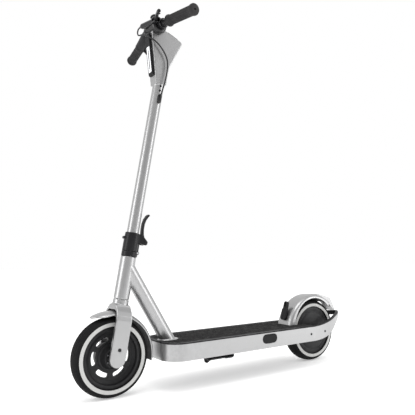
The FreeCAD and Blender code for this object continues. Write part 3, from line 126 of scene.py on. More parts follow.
def noise(tree, scale, detail=4.0, stretch=None):
    """A noise texture in metres, in the object's own space."""
    place = tree.nodes.new("ShaderNodeTexCoord")
    texture = tree.nodes.new("ShaderNodeTexNoise")
    texture.inputs["Scale"].default_value = scale
    texture.inputs["Detail"].default_value = detail
    texture.inputs["Roughness"].default_value = NOISE_ROUGHNESS
    if stretch is None:
        link(tree, place.outputs["Object"], texture.inputs["Vector"])
    else:
        mapping = tree.nodes.new("ShaderNodeMapping")
        mapping.inputs["Scale"].default_value = stretch
        link(tree, place.outputs["Object"], mapping.inputs["Vector"])
        link(tree, mapping.outputs["Vector"], texture.inputs["Vector"])
    return texture.outputs["Fac"]


def spread(tree, value, low, high, from_low=0.3, from_high=0.7):
    """Maps a texture's middle range to low..high."""
    mapper = tree.nodes.new("ShaderNodeMapRange")
    mapper.inputs["From Min"].default_value = from_low
    mapper.inputs["From Max"].default_value = from_high
    mapper.inputs["To Min"].default_value = low
    mapper.inputs["To Max"].default_value = high
    link(tree, value, mapper.inputs["Value"])
    return mapper.outputs["Result"]


def mix_colour(tree, factor, first, second):
    mixer = tree.nodes.new("ShaderNodeMix")
    mixer.data_type = "RGBA"
    colour_in = [s for s in mixer.inputs if s.type == "RGBA"]
    factor_in = next(s for s in mixer.inputs if s.type == "VALUE")
    for socket, value in zip(colour_in, (first, second)):
        if isinstance(value, tuple):
            socket.default_value = (*value, 1)
        else:
            link(tree, value, socket)
    link(tree, factor, factor_in)
    return next(s for s in mixer.outputs if s.type == "RGBA")


def bump(tree, shader, height, strength, distance):
    """Adds a bump layer over any that the shader already has."""
    node = tree.nodes.new("ShaderNodeBump")
    node.inputs["Strength"].default_value = strength
    node.inputs["Distance"].default_value = distance
    link(tree, height, node.inputs["Height"])
    socket = shader.inputs["Normal"]
    if socket.is_linked:
        link(tree, socket.links[0].from_socket, node.inputs["Normal"])
    link(tree, node.outputs["Normal"], socket)


def worn_edges(tree, low=0.53, high=0.62):
    """1 on sharp outer edges, broken up by noise."""
    geometry = tree.nodes.new("ShaderNodeNewGeometry")
    edge = spread(tree, geometry.outputs["Pointiness"], 0.0, 1.0, low, high)
    patches = spread(tree, noise(tree, 90, 6), 0.0, 1.0, 0.45, 0.7)
    product = tree.nodes.new("ShaderNodeMath")
    product.operation = "MULTIPLY"
    link(tree, edge, product.inputs[0])
    link(tree, patches, product.inputs[1])
    return product.outputs["Value"]


PATCH_SCALE = 14


def varied(name, colour, other, roughness, rough_change, grain_scale, grain_depth, metallic=0.0, edge=None,
           stretch=None, **more):
    """The common build: two close colours, uneven roughness, a fine grain and, if asked, paler worn edges."""
    material, tree, shader = new_material(name, colour, roughness, metallic, **more)
    patches = spread(tree, noise(tree, PATCH_SCALE, 5), 0.0, 1.0, 0.35, 0.65)
    tint = mix_colour(tree, patches, colour, other)
    if edge is not None:
        tint = mix_colour(tree, worn_edges(tree), tint, edge)
    link(tree, tint, shader.inputs["Base Color"])
    uneven = spread(tree, noise(tree, PATCH_SCALE * 5, 6), roughness - rough_change, roughness + rough_change)
    link(tree, uneven, shader.inputs["Roughness"])
    bump(tree, shader, noise(tree, grain_scale, 3, stretch=stretch), 0.35, grain_depth)
    return material


def silver_paint():
    """Satin metallic paint: fine flakes, slight orange peel, cleaner edges."""
    material, tree, shader = new_material("silver_paint", (0.37, 0.37, 0.373), 0.32, 0.88, coat=0.1,
                                          coat_roughness=0.2)
    flakes = spread(tree, noise(tree, 2600, 2), 0.0, 1.0, 0.35, 0.65)
    cloud = spread(tree, noise(tree, 9, 4), 0.0, 1.0)
    base = mix_colour(tree, cloud, (0.35, 0.35, 0.352), (0.38, 0.38, 0.382))
    glints = mix_colour(tree, flakes, base, (0.42, 0.42, 0.422))
    tint = mix_colour(tree, worn_edges(tree, 0.55, 0.7), glints, (0.48, 0.48, 0.482))
    link(tree, tint, shader.inputs["Base Color"])
    link(tree, spread(tree, noise(tree, 60, 6), 0.29, 0.36), shader.inputs["Roughness"])
    bump(tree, shader, noise(tree, 420, 2), 0.10, 0.0002)
    bump(tree, shader, flakes, 0.05, 0.00004)
    return material


def tyre_rubber():
    """Dull black rubber with a trace of dust in its hollows."""
    return varied("tyre_rubber", (0.008, 0.008, 0.009), (0.014, 0.014, 0.013), 0.78, 0.08, 900, 0.00012,
                  edge=(0.03, 0.029, 0.028), specular=0.12)


def lamp_lens():
    """Clear moulded lens over a white light bar, with fine flutes."""
    material, tree, shader = new_material("lamp_lens", (0.80, 0.82, 0.85), 0.12, coat=0.8,
                                          coat_roughness=0.03, emission=0.35)
    flutes = noise(tree, 300, 1, stretch=(0.2, 0.2, 3.0))
    link(tree, mix_colour(tree, spread(tree, flutes, 0, 1), (0.70, 0.73, 0.77), (0.90, 0.91, 0.93)),
         shader.inputs["Base Color"])
    bump(tree, shader, flutes, 0.3, 0.0003)
    return material


def display_glass():
    material, tree, shader = new_material("display_glass", (0.012, 0.013, 0.015), 0.06, coat=1.0,
                                          coat_roughness=0.02)
    smudges = spread(tree, noise(tree, 40, 5), 0.04, 0.12)
    link(tree, smudges, shader.inputs["Roughness"])
    bump(tree, shader, noise(tree, 60, 2), 0.02, 0.0002)
    return material


def make_materials():
    return {
        "silver_paint": silver_paint(),
        "black_paint": varied("black_paint", (0.008, 0.008, 0.009), (0.014, 0.014, 0.015), 0.30, 0.06, 700,
                              0.00006, edge=(0.05, 0.05, 0.052), specular=0.2),
        "black_plastic": varied("black_plastic", (0.009, 0.009, 0.010), (0.015, 0.015, 0.016), 0.48, 0.07,
                                1500, 0.00010, edge=(0.04, 0.04, 0.042), specular=0.16),
        "gloss_black": varied("gloss_black", (0.006, 0.006, 0.007), (0.010, 0.010, 0.011), 0.24, 0.05, 500,
                              0.00003, coat=0.35, coat_roughness=0.10, specular=0.3),
        "mat_rubber": varied("mat_rubber", (0.016, 0.016, 0.017), (0.026, 0.025, 0.025), 0.72, 0.09, 1300,
                             0.00014, edge=(0.06, 0.059, 0.058), specular=0.2),
        "grip_rubber": varied("grip_rubber", (0.016, 0.016, 0.017), (0.027, 0.026, 0.026), 0.66, 0.08, 1500,
                              0.00012, edge=(0.055, 0.055, 0.055), specular=0.25),
        "tyre_rubber": tyre_rubber(),
        "tyre_white": varied("tyre_white", (0.53, 0.53, 0.52), (0.48, 0.48, 0.47), 0.55, 0.08, 800, 0.00008),
        "cast_grey": varied("cast_grey", (0.013, 0.013, 0.014), (0.021, 0.021, 0.022), 0.42, 0.07, 1100,
                            0.00010, edge=(0.05, 0.05, 0.052), specular=0.2),
        "steel": varied("steel", (0.52, 0.52, 0.53), (0.60, 0.60, 0.61), 0.30, 0.08, 900, 0.00005,
                        metallic=1.0, stretch=(0.05, 1, 1)),
        "zinc_steel": varied("zinc_steel", (0.40, 0.40, 0.41), (0.30, 0.30, 0.32), 0.38, 0.10, 700, 0.00006,
                             metallic=1.0),
        "alloy": varied("alloy", (0.62, 0.62, 0.64), (0.54, 0.54, 0.56), 0.36, 0.08, 900, 0.00005,
                        metallic=1.0, stretch=(1, 0.05, 1)),
        "battery_wrap": varied("battery_wrap", (0.03, 0.07, 0.22), (0.05, 0.10, 0.27), 0.30, 0.08, 300,
                               0.0002),
        "copper_stack": varied("copper_stack", (0.42, 0.20, 0.10), (0.30, 0.16, 0.09), 0.40, 0.10, 1500,
                               0.0003, metallic=0.9, stretch=(8, 0.1, 0.1)),
        "lamp_lens": lamp_lens(),
        "red_lens": varied("red_lens", (0.24, 0.008, 0.008), (0.32, 0.012, 0.010), 0.14, 0.04, 500, 0.0002,
                           coat=0.8, coat_roughness=0.04, stretch=(1, 0.1, 0.1)),
        "display_glass": display_glass(),
        "silver_button": varied("silver_button", (0.50, 0.50, 0.51), (0.58, 0.58, 0.59), 0.32, 0.07, 1200,
                                0.00005, metallic=0.9),
        "cable_sheath": varied("cable_sheath", (0.008, 0.008, 0.009), (0.014, 0.014, 0.015), 0.42, 0.08, 900,
                               0.00006, specular=0.35),
    }


MATERIALS = make_materials()
SLOT_OF = {entry["node"]: entry["material_slot"] for entry in frame["record"]["subparts"]}


def paint_cad_nodes():
    """Every carried-over CAD node gets its slot's procedural material."""
    for name, node in nodes.items():
        node.data.materials.clear()
        node.data.materials.append(MATERIALS[SLOT_OF[name]])


# ---- Mesh building --------------------------------------------------------------------------------------
def new_piece(name, mesh, body, slot, replaced=(), extra_slots=()):
    """Links a finished mesh, in the row frame, parents it to the body it rides on and hides the CAD parts it
    replaces.
    """
    piece = bpy.data.objects.new(name, mesh)
    bpy.context.scene.collection.objects.link(piece)
    for each in (slot, *extra_slots):
        mesh.materials.append(MATERIALS[each])
    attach(piece, body)
    if replaced:
        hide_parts(*replaced)
    return piece


def mesh_of(name, bm, smooth=True):
    bmesh.ops.recalc_face_normals(bm, faces=bm.faces)
    mesh = bpy.data.meshes.new(name)
    bm.to_mesh(mesh)
    bm.free()
    if smooth:
        mesh.polygons.foreach_set("use_smooth", [True] * len(mesh.polygons))
        mesh.update()
    return mesh


def applied(mesh, *modifiers):
    """The mesh after some modifiers, each given as (type, settings)."""
    helper = bpy.data.objects.new("helper", mesh)
    bpy.context.scene.collection.objects.link(helper)
    for index, (kind, settings) in enumerate(modifiers):
        modifier = helper.modifiers.new(f"step_{index}", kind)
        for key, value in settings.items():
            setattr(modifier, key, value)
    graph = bpy.context.evaluated_depsgraph_get()
    result = bpy.data.meshes.new_from_object(helper.evaluated_get(graph), depsgraph=graph)
    bpy.data.objects.remove(helper)
    return result


def sharp_by_angle(mesh, degrees=35):
    """Smooth shading that stays crisp at edges sharper than an angle."""
    bm = bmesh.new()
    bm.from_mesh(mesh)
    limit = math.radians(degrees)
    for edge in bm.edges:
        edge.smooth = len(edge.link_faces) == 2 and edge.calc_face_angle(0) < limit
    for face in bm.faces:
        face.smooth = True
    bm.to_mesh(mesh)
    bm.free()
    return mesh


def turned_mesh(profile, place, segments, shape=None):
    """A closed outline of (radius, height) points turned about local Z; shape(step, r, z) moves a point."""
    bm = bmesh.new()
    rings = []
    for step in range(segments):
        angle = 2 * math.pi * step / segments
        row = []
        for r, z in profile:
            if shape:
                r, z = shape(step, r, z)
            row.append(bm.verts.new(place @ Vector((r * math.cos(angle), r * math.sin(angle), z))))
        rings.append(row)
    count = len(profile)
    for step in range(segments):
        here, there = rings[step], rings[(step + 1) % segments]
        for index in range(count):
            after = (index + 1) % count
            corners = [here[index], here[after], there[after], there[index]]
            bm.faces.new(corners)
    bmesh.ops.remove_doubles(bm, verts=bm.verts, dist=1e-6)
    return bm


def in_metres(points, side=1):
    """(radius, height) points in millimetres, mirrored if side is -1."""
    return [(r * MM, side * z * MM) for r, z in points]


def lathe(name, profile, place, body, slot, replaced=(), segments=128, degrees=35, shape=None):
    bm = turned_mesh(profile, place, segments, shape)
    mesh = sharp_by_angle(mesh_of(name, bm), degrees)
    return new_piece(name, mesh, body, slot, replaced)


def cad_copy(node_names):
    """The CAD nodes' solids as one welded mesh."""
    bm = bmesh.new()
    for name in node_names:
        bm.from_mesh(nodes[name].data)
    bmesh.ops.remove_doubles(bm, verts=bm.verts, dist=2e-6)
    mesh = bpy.data.meshes.new("copy")
    bm.to_mesh(mesh)
    bm.free()
    return mesh


def moulded(name, node_names, body, slot, voxel, rounds):
    """Cast, welded or moulded pieces: the CAD solid with every edge rounded by remeshing and smoothing."""
    steps = [("REMESH", {"mode": "VOXEL", "voxel_size": voxel, "adaptivity": 0.0}),
             ("SMOOTH", {"factor": 0.5, "iterations": rounds})]
    mesh = applied(cad_copy(node_names), *steps)
    mesh.polygons.foreach_set("use_smooth", [True] * len(mesh.polygons))
    return new_piece(name, mesh, body, slot, node_names)


# ---- Wheels ---------------------------------------------------------------------------------------------
TYRE_HALF = 25 * MM
BAND_INNER = 86 * MM
BAND_OUTER = 96.6 * MM
SEAT = 78.1 * MM
TREAD_EDGE = 98.6 * MM
GROOVED_FROM = 101.5 * MM
TREAD_TURNS = 90
STEPS_PER_TREAD = 4


def tyre_profile():
    """From the left bead over the crown to the right bead, (radius, across)."""
    side = [(SEAT, 16.4 * MM), (83.5 * MM, 16.8 * MM), (84.8 * MM, 21.5 * MM), (85.6 * MM, 24.4 * MM),
            (BAND_INNER, TYRE_HALF), (BAND_INNER + 0.8 * MM, TYRE_HALF + 0.9 * MM),
            (BAND_OUTER - 0.8 * MM, TYRE_HALF + 0.8 * MM), (BAND_OUTER, TYRE_HALF - 0.1 * MM),
            (97.8 * MM, TYRE_HALF - 0.4 * MM)]
    crown = []
    steps = 18
    for step in range(steps + 1):
        turn = math.pi / 2 * step / steps
        across = (TYRE_HALF - 0.6 * MM) * math.cos(turn) ** 0.95 if step < steps else 0.0
        out = TREAD_EDGE + (WHEEL_RADIUS - TREAD_EDGE) * math.sin(turn) ** 0.85
        crown.append((out, across))
    half = side + crown
    return half + [(r, -x) for r, x in reversed(half[:-1])]


def tread(step, r, z):
    """Three grooves round the tyre and slanted sipes between them."""
    if r < GROOVED_FROM:
        return r, z
    across = abs(z)
    if abs(across - 6.5 * MM) < 1.3 * MM or abs(across - 14.5 * MM) < 1.5 * MM:
        return r - 1.5 * MM, z
    lean = int(across / (2.2 * MM))
    if (step + lean) % STEPS_PER_TREAD == 0:
        return r - 1.1 * MM, z
    return r, z


def make_tyre(name, axle, body):
    profile = tyre_profile()
    bm = turned_mesh(profile, wheel_frame(axle), TREAD_TURNS * STEPS_PER_TREAD, tread)
    mesh = mesh_of(name, bm)
    piece = new_piece(name + "_tread", mesh, body, "tyre_rubber", [name], ["tyre_white"])
    for polygon in mesh.polygons:
        offset = polygon.center - axle
        out = math.hypot(offset.y, offset.z)
        if BAND_INNER < out < BAND_OUTER and abs(offset.x) > TYRE_HALF - 0.7 * MM:
            polygon.material_index = 1
    sharp_by_angle(mesh, 40)
    return piece


WINDOWS = 6
WINDOW_HALF = math.radians(22.5)
WINDOW_MIDDLE = 50.5 * MM
WINDOW_HEIGHT = 6.6 * MM


def slotted_web():
    """The rim's web: a plate with round-ended arc windows."""
    bm = bmesh.new()
    place = wheel_frame(FRONT_AXLE)
    per_window = 28
    total = WINDOWS * per_window
    radii = [36 * MM, 41 * MM, None, None, 60 * MM, 67 * MM]
    thick = 6 * MM
    columns = []
    for step in range(total):
        angle = 2 * math.pi * step / total
        phase = (angle + math.pi / WINDOWS) % (2 * math.pi / WINDOWS) - math.pi / WINDOWS
        share = min(1.0, abs(phase) / WINDOW_HALF)
        opening = WINDOW_HEIGHT * max(0.0, 1 - share ** 7) ** 0.5
        opening = max(opening, 1.2 * MM)
        row = []
        for r in radii:
            if r is None:
                r = WINDOW_MIDDLE + (opening if len(row) == 3 else -opening)
            turned = angle + math.radians(30)
            row.append(bm.verts.new(place @ Vector((r * math.cos(turned), r * math.sin(turned), thick))))
        columns.append((row, share < 1.0 - 1e-6))
    for step in range(total):
        row, open_here = columns[step]
        other, open_there = columns[(step + 1) % total]
        for index in range(len(radii) - 1):
            if index == 2 and open_here and open_there:
                continue
            bm.faces.new([row[index], other[index], other[index + 1], row[index + 1]])
    mesh = mesh_of("web", bm)
    mesh = applied(mesh, ("SOLIDIFY", {"thickness": 2 * thick, "offset": -1.0}),
                   ("BEVEL", {"width": 0.9 * MM, "segments": 2, "limit_method": "ANGLE",
                              "angle_limit": math.radians(40)}))
    centre = sum((v.co.x for v in mesh.vertices)) / len(mesh.vertices)
    for vertex in mesh.vertices:
        vertex.co.x -= centre
    return sharp_by_angle(mesh, 45)


BOLTS = 6


def socket_screw(bm, place, radius, height, socket):
    """Adds a cap screw with a hexagonal recess, its axis on the place's z."""
    rings = [(radius, 0), (radius, height * 0.75), (radius * 0.86, height), (socket, height),
             (socket * 0.96, height * 0.35)]
    sides = 18
    rows = []
    for index, (r, z) in enumerate(rings):
        row = []
        for step in range(sides):
            angle = 2 * math.pi * step / sides
            if index >= 3:
                part = (angle % (math.pi / 3)) - math.pi / 6
                scale = math.cos(math.pi / 6) / math.cos(part)
            else:
                scale = 1
            out = r * scale
            row.append(bm.verts.new(place @ Vector((out * math.cos(angle), out * math.sin(angle), z))))
        rows.append(row)
    for low, high in zip(rows, rows[1:]):
        for step in range(sides):
            after = (step + 1) % sides
            bm.faces.new([low[step], low[after], high[after], high[step]])
    bm.faces.new(rows[-1])
    bm.faces.new(list(reversed(rows[0])))


def bolt_circle(bm, place, circle, height, first, sizes):
    """Cap screws round a circle; sizes are a screw's radius, height and socket radius."""
    for index in range(BOLTS):
        angle = 2 * math.pi * index / BOLTS + first
        spot = Matrix.Translation((circle * math.cos(angle), circle * math.sin(angle), height))
        socket_screw(bm, place @ spot, *(size * MM for size in sizes))


def make_front_wheel():
    make_tyre("front_tyre", FRONT_AXLE, "front_wheel")
    place = wheel_frame(FRONT_AXLE)
    barrel = [(84, 17.6), (84.0, 19), (82.8, 19.6), (76, 19.6), (74.5, 18.6), (72.5, 11.5), (70, 9.5),
              (66.5, 7.6), (63, 5.5), (62, -7.6), (63, -18.6), (66, -19.6), (82.8, -19.6),
              (84.0, -19), (84, -17.6), (78, -16.5), (78, 16.5)]
    lathe("rim_barrel", in_metres(barrel), place, "front_wheel", "cast_grey", ["front_rim"], 144, 30)
    new_piece("rim_web", slotted_web(), "front_wheel", "cast_grey")
    hub = [(6.2, 28), (6.2, 30), (13, 30), (14, 29.2), (14, 27.4), (24, 27), (25.5, 25.6), (27, 20),
           (33, 9.4), (37.8, 8), (38.6, 6), (38.6, -10), (38, -29.2), (37, -30), (34, -30), (34, -12),
           (6.2, -12)]
    lathe("rim_hub", in_metres(hub), place, "front_wheel", "cast_grey", (), 96, 30)
    bm = bmesh.new()
    bolt_circle(bm, place, 19.5 * MM, 27.2 * MM, 0, (2.4, 1.8, 1.3))
    new_piece("hub_bolts", sharp_by_angle(mesh_of("hub_bolts", bm), 40), "front_wheel", "zinc_steel")


def make_rear_wheel():
    make_tyre("rear_tyre", REAR_AXLE, "rear_wheel")
    place = wheel_frame(REAR_AXLE)
    for side in (-1, 1):
        word = "left" if side > 0 else "right"
        cover = [(7.1, 17.2), (7.1, 29), (17, 29), (18.4, 28.4), (19, 27.2), (27, 26.6), (29, 27.4),
                 (31, 27.4), (33, 26.4), (56, 25.6), (62, 24.4), (66, 22.6), (67.6, 21.4), (70.5, 21.2),
                 (71.4, 22.0), (76.5, 22.2), (78, 21.4), (79.6, 21.0), (83.2, 20.6), (84.2, 19.7), (70, 19.6),
                 (65, 18.8)]
        lathe(f"motor_cover_{word}", in_metres(cover, side), place, "rear_wheel", "cast_grey",
              ["motor_covers"] if side > 0 else (), 144, 30)
    bm = bmesh.new()
    for side in (-1, 1):
        flip = Matrix.Identity(4) if side > 0 else Matrix.Rotation(math.pi, 4, "X")
        bolt_circle(bm, place @ flip, 74 * MM, 21.6 * MM, math.radians(25), (2.0, 1.5, 1.1))
    new_piece("cover_bolts", sharp_by_angle(mesh_of("cover_bolts", bm), 40), "rear_wheel", "cast_grey")


# ---- Fenders --------------------------------------------------------------------------------------------
SHELL_STEPS = 72
SHELL_WALL = 2.4 * MM


def shell(name, section, start, end, place, body, replaced):
    """A curved shell round a wheel: section(angle, inset) gives (radius, across) points, at angles from the
    top forwards. It is painted silver outside and black inside."""
    bm = bmesh.new()
    grids = []
    for inset in (0.0, SHELL_WALL):
        rows = []
        for step in range(SHELL_STEPS + 1):
            angle = start + (end - start) * step / SHELL_STEPS
            points = section(angle, inset)
            rows.append([bm.verts.new(place @ Vector((r * math.cos(angle), r * math.sin(angle), x)))
                         for r, x in points])
        grids.append(rows)
    outer, inner = grids
    columns = len(outer[0])
    for rows, layer in ((outer, 0), (inner, 1)):
        for here, there in zip(rows, rows[1:]):
            for index in range(columns - 1):
                face = bm.faces.new([here[index], here[index + 1], there[index + 1], there[index]])
                face.material_index = layer
    for first, second in ((outer[0], inner[0]), (outer[-1], inner[-1]),
                          ([row[0] for row in outer], [row[0] for row in inner]),
                          ([row[-1] for row in outer], [row[-1] for row in inner])):
        for index in range(len(first) - 1):
            bm.faces.new([first[index], first[index + 1], second[index + 1], second[index]])
    mesh = mesh_of(name, bm)
    new_piece(name, sharp_by_angle(mesh, 50), body, "silver_paint", replaced, ["black_plastic"])


def evenly(count, first, last):
    return [first + (last - first) * index / (count - 1) for index in range(count)]


def make_front_fender():
    crown = 127 * MM
    half = 33 * MM
    rear = math.radians(-101)
    tip = math.radians(28)
    narrows_ahead = math.radians(8)
    narrows_behind = math.radians(-83)

    def section(angle, inset):
        forward = max(0.0, (angle - narrows_ahead) / (tip - narrows_ahead))
        backward = max(0.0, (narrows_behind - angle) / math.radians(18))
        width = half * (1 - 0.80 * forward ** 2.2) * (1 - 0.40 * backward ** 2.4)
        points = []
        for t in evenly(25, -1, 1):
            across = width * t
            fall = 8.5 * MM * (abs(across) / half) ** 2.4
            edge = 1.2 * MM * max(0.0, abs(t) - 0.9) / 0.1
            points.append((crown - fall - edge - inset, across * (1 - 0.6 * inset / half)))
        return points

    shell("front_fender_shell", section, rear, tip, wheel_frame(FRONT_AXLE), "steering", ["front_fender"])


ARCH_CENTRE = (-3 * MM, 18.5 * MM)
ARCH_RADIUS = 99.4 * MM


def arch_reach(angle):
    """Radius from the axle to the side opening's edge; angles run from the top forwards."""
    toward = (-math.sin(angle), math.cos(angle))
    along = toward[0] * ARCH_CENTRE[0] + toward[1] * ARCH_CENTRE[1]
    off = toward[0] * ARCH_CENTRE[1] - toward[1] * ARCH_CENTRE[0]
    return along + math.sqrt(max(ARCH_RADIUS ** 2 - off * off, 0))


def make_rear_fender():
    crown = 130 * MM
    half = 36 * MM
    front = math.radians(78.8)
    back = math.radians(-41)

    def section(angle, inset):
        bend = 11 * MM
        low = min(arch_reach(angle), crown - bend - 1 * MM)
        points = []
        side = evenly(6, low, crown - bend)
        corner = [(crown - bend + bend * math.sin(t), half - 1.6 * bend + 1.6 * bend * math.cos(t))
                  for t in evenly(12, 0, math.pi / 2 * 0.93)]
        top = [(crown - 0.1 * MM * abs(t), half * 0.45 * t) for t in evenly(9, 1, -1)]
        left = [(r, half) for r in side[:-1]] + corner
        right = [(r, -x) for r, x in reversed(left)]
        for r, x in left + top[1:-1] + right:
            outwards = 1 if x > 0 else -1
            flat = min(1.0, abs(x) / half)
            points.append((r - inset * (1 - flat ** 6) if r > low + 1e-6 else r,
                           x - outwards * inset * flat ** 6))
        return points

    shell("rear_fender_shell", section, back, front, wheel_frame(REAR_AXLE), "chassis", ["rear_fender"])


# ---- Deck -----------------------------------------------------------------------------------------------
def brick(bm, centre):
    """One raised E-shaped tread block with three short fingers."""
    x, y, z = centre
    width, length, height = BLOCK_WIDTH, BLOCK_LENGTH, BLOCK_HEIGHT
    spine = width * 0.30
    boxes = [((x - width / 2, y - length / 2), (x - width / 2 + spine, y + length / 2))]
    finger = (length - 2 * FINGER_GAP) / 3
    for index in range(3):
        start = y - length / 2 + index * (finger + FINGER_GAP)
        boxes.append(((x - width / 2 + spine, start), (x + width / 2, start + finger)))
    inset = 0.25 * MM
    for (x0, y0), (x1, y1) in boxes:
        low = [bm.verts.new((a, b, z)) for a, b in ((x0, y0), (x1, y0), (x1, y1), (x0, y1))]
        high = [bm.verts.new((a, b, z + height)) for a, b in
                ((x0 + inset, y0 + inset), (x1 - inset, y0 + inset), (x1 - inset, y1 - inset),
                 (x0 + inset, y1 - inset))]
        bm.faces.new(high)
        for index in range(4):
            after = (index + 1) % 4
            bm.faces.new([low[index], low[after], high[after], high[index]])


MAT_MARGIN = 7.5 * MM
MAT_CORNER = 46 * MM
FOOT_BACK = -0.604
FOOT_HALF_WIDTH = 30 * MM
FOOT_HALF_LENGTH = 39 * MM
OPENING_HALF_WIDTH = 41 * MM
OPENING_FRONT = -0.134
BLOCK_PITCH = (8.6 * MM, 10.4 * MM)
BLOCK_LENGTH = 8.2 * MM
BLOCK_WIDTH = 5.6 * MM
BLOCK_HEIGHT = 1.1 * MM
FINGER_GAP = 1.3 * MM
SUNK = 0.05 * MM


def on_mat(x, y, low, high):
    """Whether a point is on the mat, clear of its edge, the down tube's foot and the fender's opening."""
    margin = MAT_MARGIN
    corner = MAT_CORNER
    half = (high.x - low.x) / 2 - margin
    if abs(x) > half or y < low.y + margin or y > high.y - margin:
        return False
    if y < low.y + corner and abs(x) > high.x - corner:
        reach = math.hypot(abs(x) - (high.x - corner), y - (low.y + corner))
        if reach > corner - margin:
            return False
    foot_y = REAR_AXLE.y + FOOT_BACK
    if (x / FOOT_HALF_WIDTH) ** 2 + ((y - foot_y) / FOOT_HALF_LENGTH) ** 2 < 1:
        return False
    return not (abs(x) < OPENING_HALF_WIDTH and y > REAR_AXLE.y + OPENING_FRONT)


def make_deck():
    low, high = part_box("deck_mat")
    bm = bmesh.new()
    pitch_x, pitch_y = BLOCK_PITCH
    columns = int((high.x - low.x) / pitch_x / 2)
    rows = int((high.y - low.y) / pitch_y)
    for column in range(-columns, columns + 1):
        for row in range(rows + 1):
            x = column * pitch_x
            y = low.y + row * pitch_y + (pitch_y / 2 if column % 2 else 0)
            if on_mat(x, y, low, high):
                brick(bm, (x, y, DECK_TOP - SUNK))
    mesh = mesh_of("mat_blocks", bm, smooth=False)
    new_piece("mat_blocks", mesh, "chassis", "mat_rubber")
    moulded("charge_flap_soft", ["charge_flap"], "charge_flap", "black_plastic", 0.5 * MM, 6)
    moulded("fender_hook_soft", ["fender_hook"], "chassis", "black_plastic", 0.6 * MM, 8)
    moulded("tail_housing_soft", ["tail_light_housing"], "chassis", "silver_paint", 0.9 * MM, 8)
    moulded("kickstand_soft", ["kickstand"], "kickstand", "black_paint", 0.6 * MM, 6)


def make_frame_tubes():
    moulded("frame_weldment", ["down_tube", "head_tube"], "chassis", "silver_paint", 1.3 * MM, 10)


# ---- Fork and folding joint -----------------------------------------------------------------------------
def make_front_end():
    moulded("fork_casting", ["fork"], "steering", "silver_paint", 1.1 * MM, 14)
    moulded("fold_base_casting", ["fold_base"], "steering", "black_paint", 0.7 * MM, 5)
    moulded("stem_clamp_casting", ["stem_clamp"], "stem", "black_paint", 0.7 * MM, 6)
    moulded("latch_lever_casting", ["latch_lever"], "latch_lever", "cast_grey", 0.6 * MM, 8)


def make_head():
    moulded("stem_and_head", ["head_shell", "stem_tube"], "stem", "silver_paint", 1.2 * MM, 12)
    moulded("bezel_moulding", ["headlight_bezel"], "stem", "black_plastic", 0.6 * MM, 4)
    moulded("hood_moulding", ["bar_hood"], "stem", "gloss_black", 0.9 * MM, 14)
    moulded("perch_casting", ["brake_perch"], "stem", "gloss_black", 0.6 * MM, 6)
    moulded("brake_lever_casting", ["brake_lever"], "brake_lever", "black_paint", 0.5 * MM, 6)
    moulded("throttle_lever_moulding", ["throttle_lever"], "throttle_lever", "black_plastic", 0.5 * MM, 5)
    moulded("striker_moulding", ["bell_striker"], "bell_striker", "black_plastic", 0.3 * MM, 4)


GRIP_RADIUS = 15.3 * MM
GRIP_BORE = 11.2 * MM
RIB_PITCH = 2.6 * MM
RIBS_START = 9 * MM


def make_grips():
    """Rubber grips: a plain flange, rows of small ribs and a thicker end."""
    for name, side, start, flange in (("grip_left", 1, 0.086, 2.8), ("grip_right", -1, 0.121, 1.6)):
        length = (BAR_HALF - start) / math.cos(math.atan2(math.hypot(BAR_BACK, BAR_DROP),
                                                          BAR_HALF - BAR_STRAIGHT)) - 2 * MM
        outer = GRIP_RADIUS
        rim = outer + flange * MM
        profile = [(GRIP_BORE, 0), (rim - 0.6 * MM, 0), (rim, 0.8 * MM), (rim, 2.8 * MM),
                   ((rim + outer) / 2, 4.2 * MM), (outer + 0.1 * MM, 5.4 * MM), (outer - 0.2 * MM, 8 * MM)]
        ribs = int((length - 26 * MM) / RIB_PITCH)
        for index in range(ribs):
            at = RIBS_START + index * RIB_PITCH
            profile += [(outer - 0.6 * MM, at), (outer - 0.6 * MM, at + 0.7 * MM), (outer, at + 1.0 * MM),
                        (outer, at + 2.3 * MM)]
        profile += [(outer - 0.6 * MM, length - 13 * MM), (outer - 0.6 * MM, length - 11.5 * MM),
                    (outer + 1.6 * MM, length - 10.5 * MM), (outer + 2 * MM, length - 9 * MM),
                    (outer + 2 * MM, length - 4.5 * MM), (outer + 0.8 * MM, length - 1.8 * MM),
                    (outer - 2 * MM, length - 0.5 * MM), (outer - 7 * MM, length), (3 * MM, length),
                    (3 * MM, length - 1.4 * MM), (GRIP_BORE, length - 1.4 * MM)]

        def knurl(step, r, z):
            ridge = RIBS_START < z < length - 15 * MM and r > outer - 0.1 * MM
            return (r - 0.7 * MM, z) if ridge and (step // 2) % 3 == 0 else (r, z)

        lathe(f"{name}_rubber", profile, bar_frame(side, start), "stem", "grip_rubber", [name], 108, 40,
              knurl)


THROTTLE_START = 0.038
BELL_SPOT = (0.031, -0.015, 0.0155)
BELL_TILT = math.radians(14)


def make_throttle():
    profile = [(11.2, 0), (17, 0), (19.4, 2.2), (20, 5), (20, 29), (19.6, 33), (18.4, 52), (17.5, 68),
               (17.5, 73.2), (16.8, 74), (11.2, 74)]
    lathe("throttle_sleeve", in_metres(profile), bar_frame(-1, THROTTLE_START), "stem", "black_plastic",
          ["throttle_housing"], 96, 30)


def bell_frame():
    return head_frame() @ Matrix.Translation(BELL_SPOT) @ Matrix.Rotation(BELL_TILT, 4, "X")


def make_bell():
    profile = [(13.4, 5.5)]
    profile += [(13.4 * math.cos(t), 5.5 + 8.7 * math.sin(t)) for t in evenly(12, 0.05, 1.45)]
    profile += [(1.8, 14.3), (1.2, 13.6)]
    profile += [(12.1 * math.cos(t), 5.5 + 7.5 * math.sin(t)) for t in evenly(12, 1.42, 0.0)]
    lathe("bell_cup", in_metres(profile), bell_frame(), "stem", "black_paint", ["bell_dome"], 72, 35)


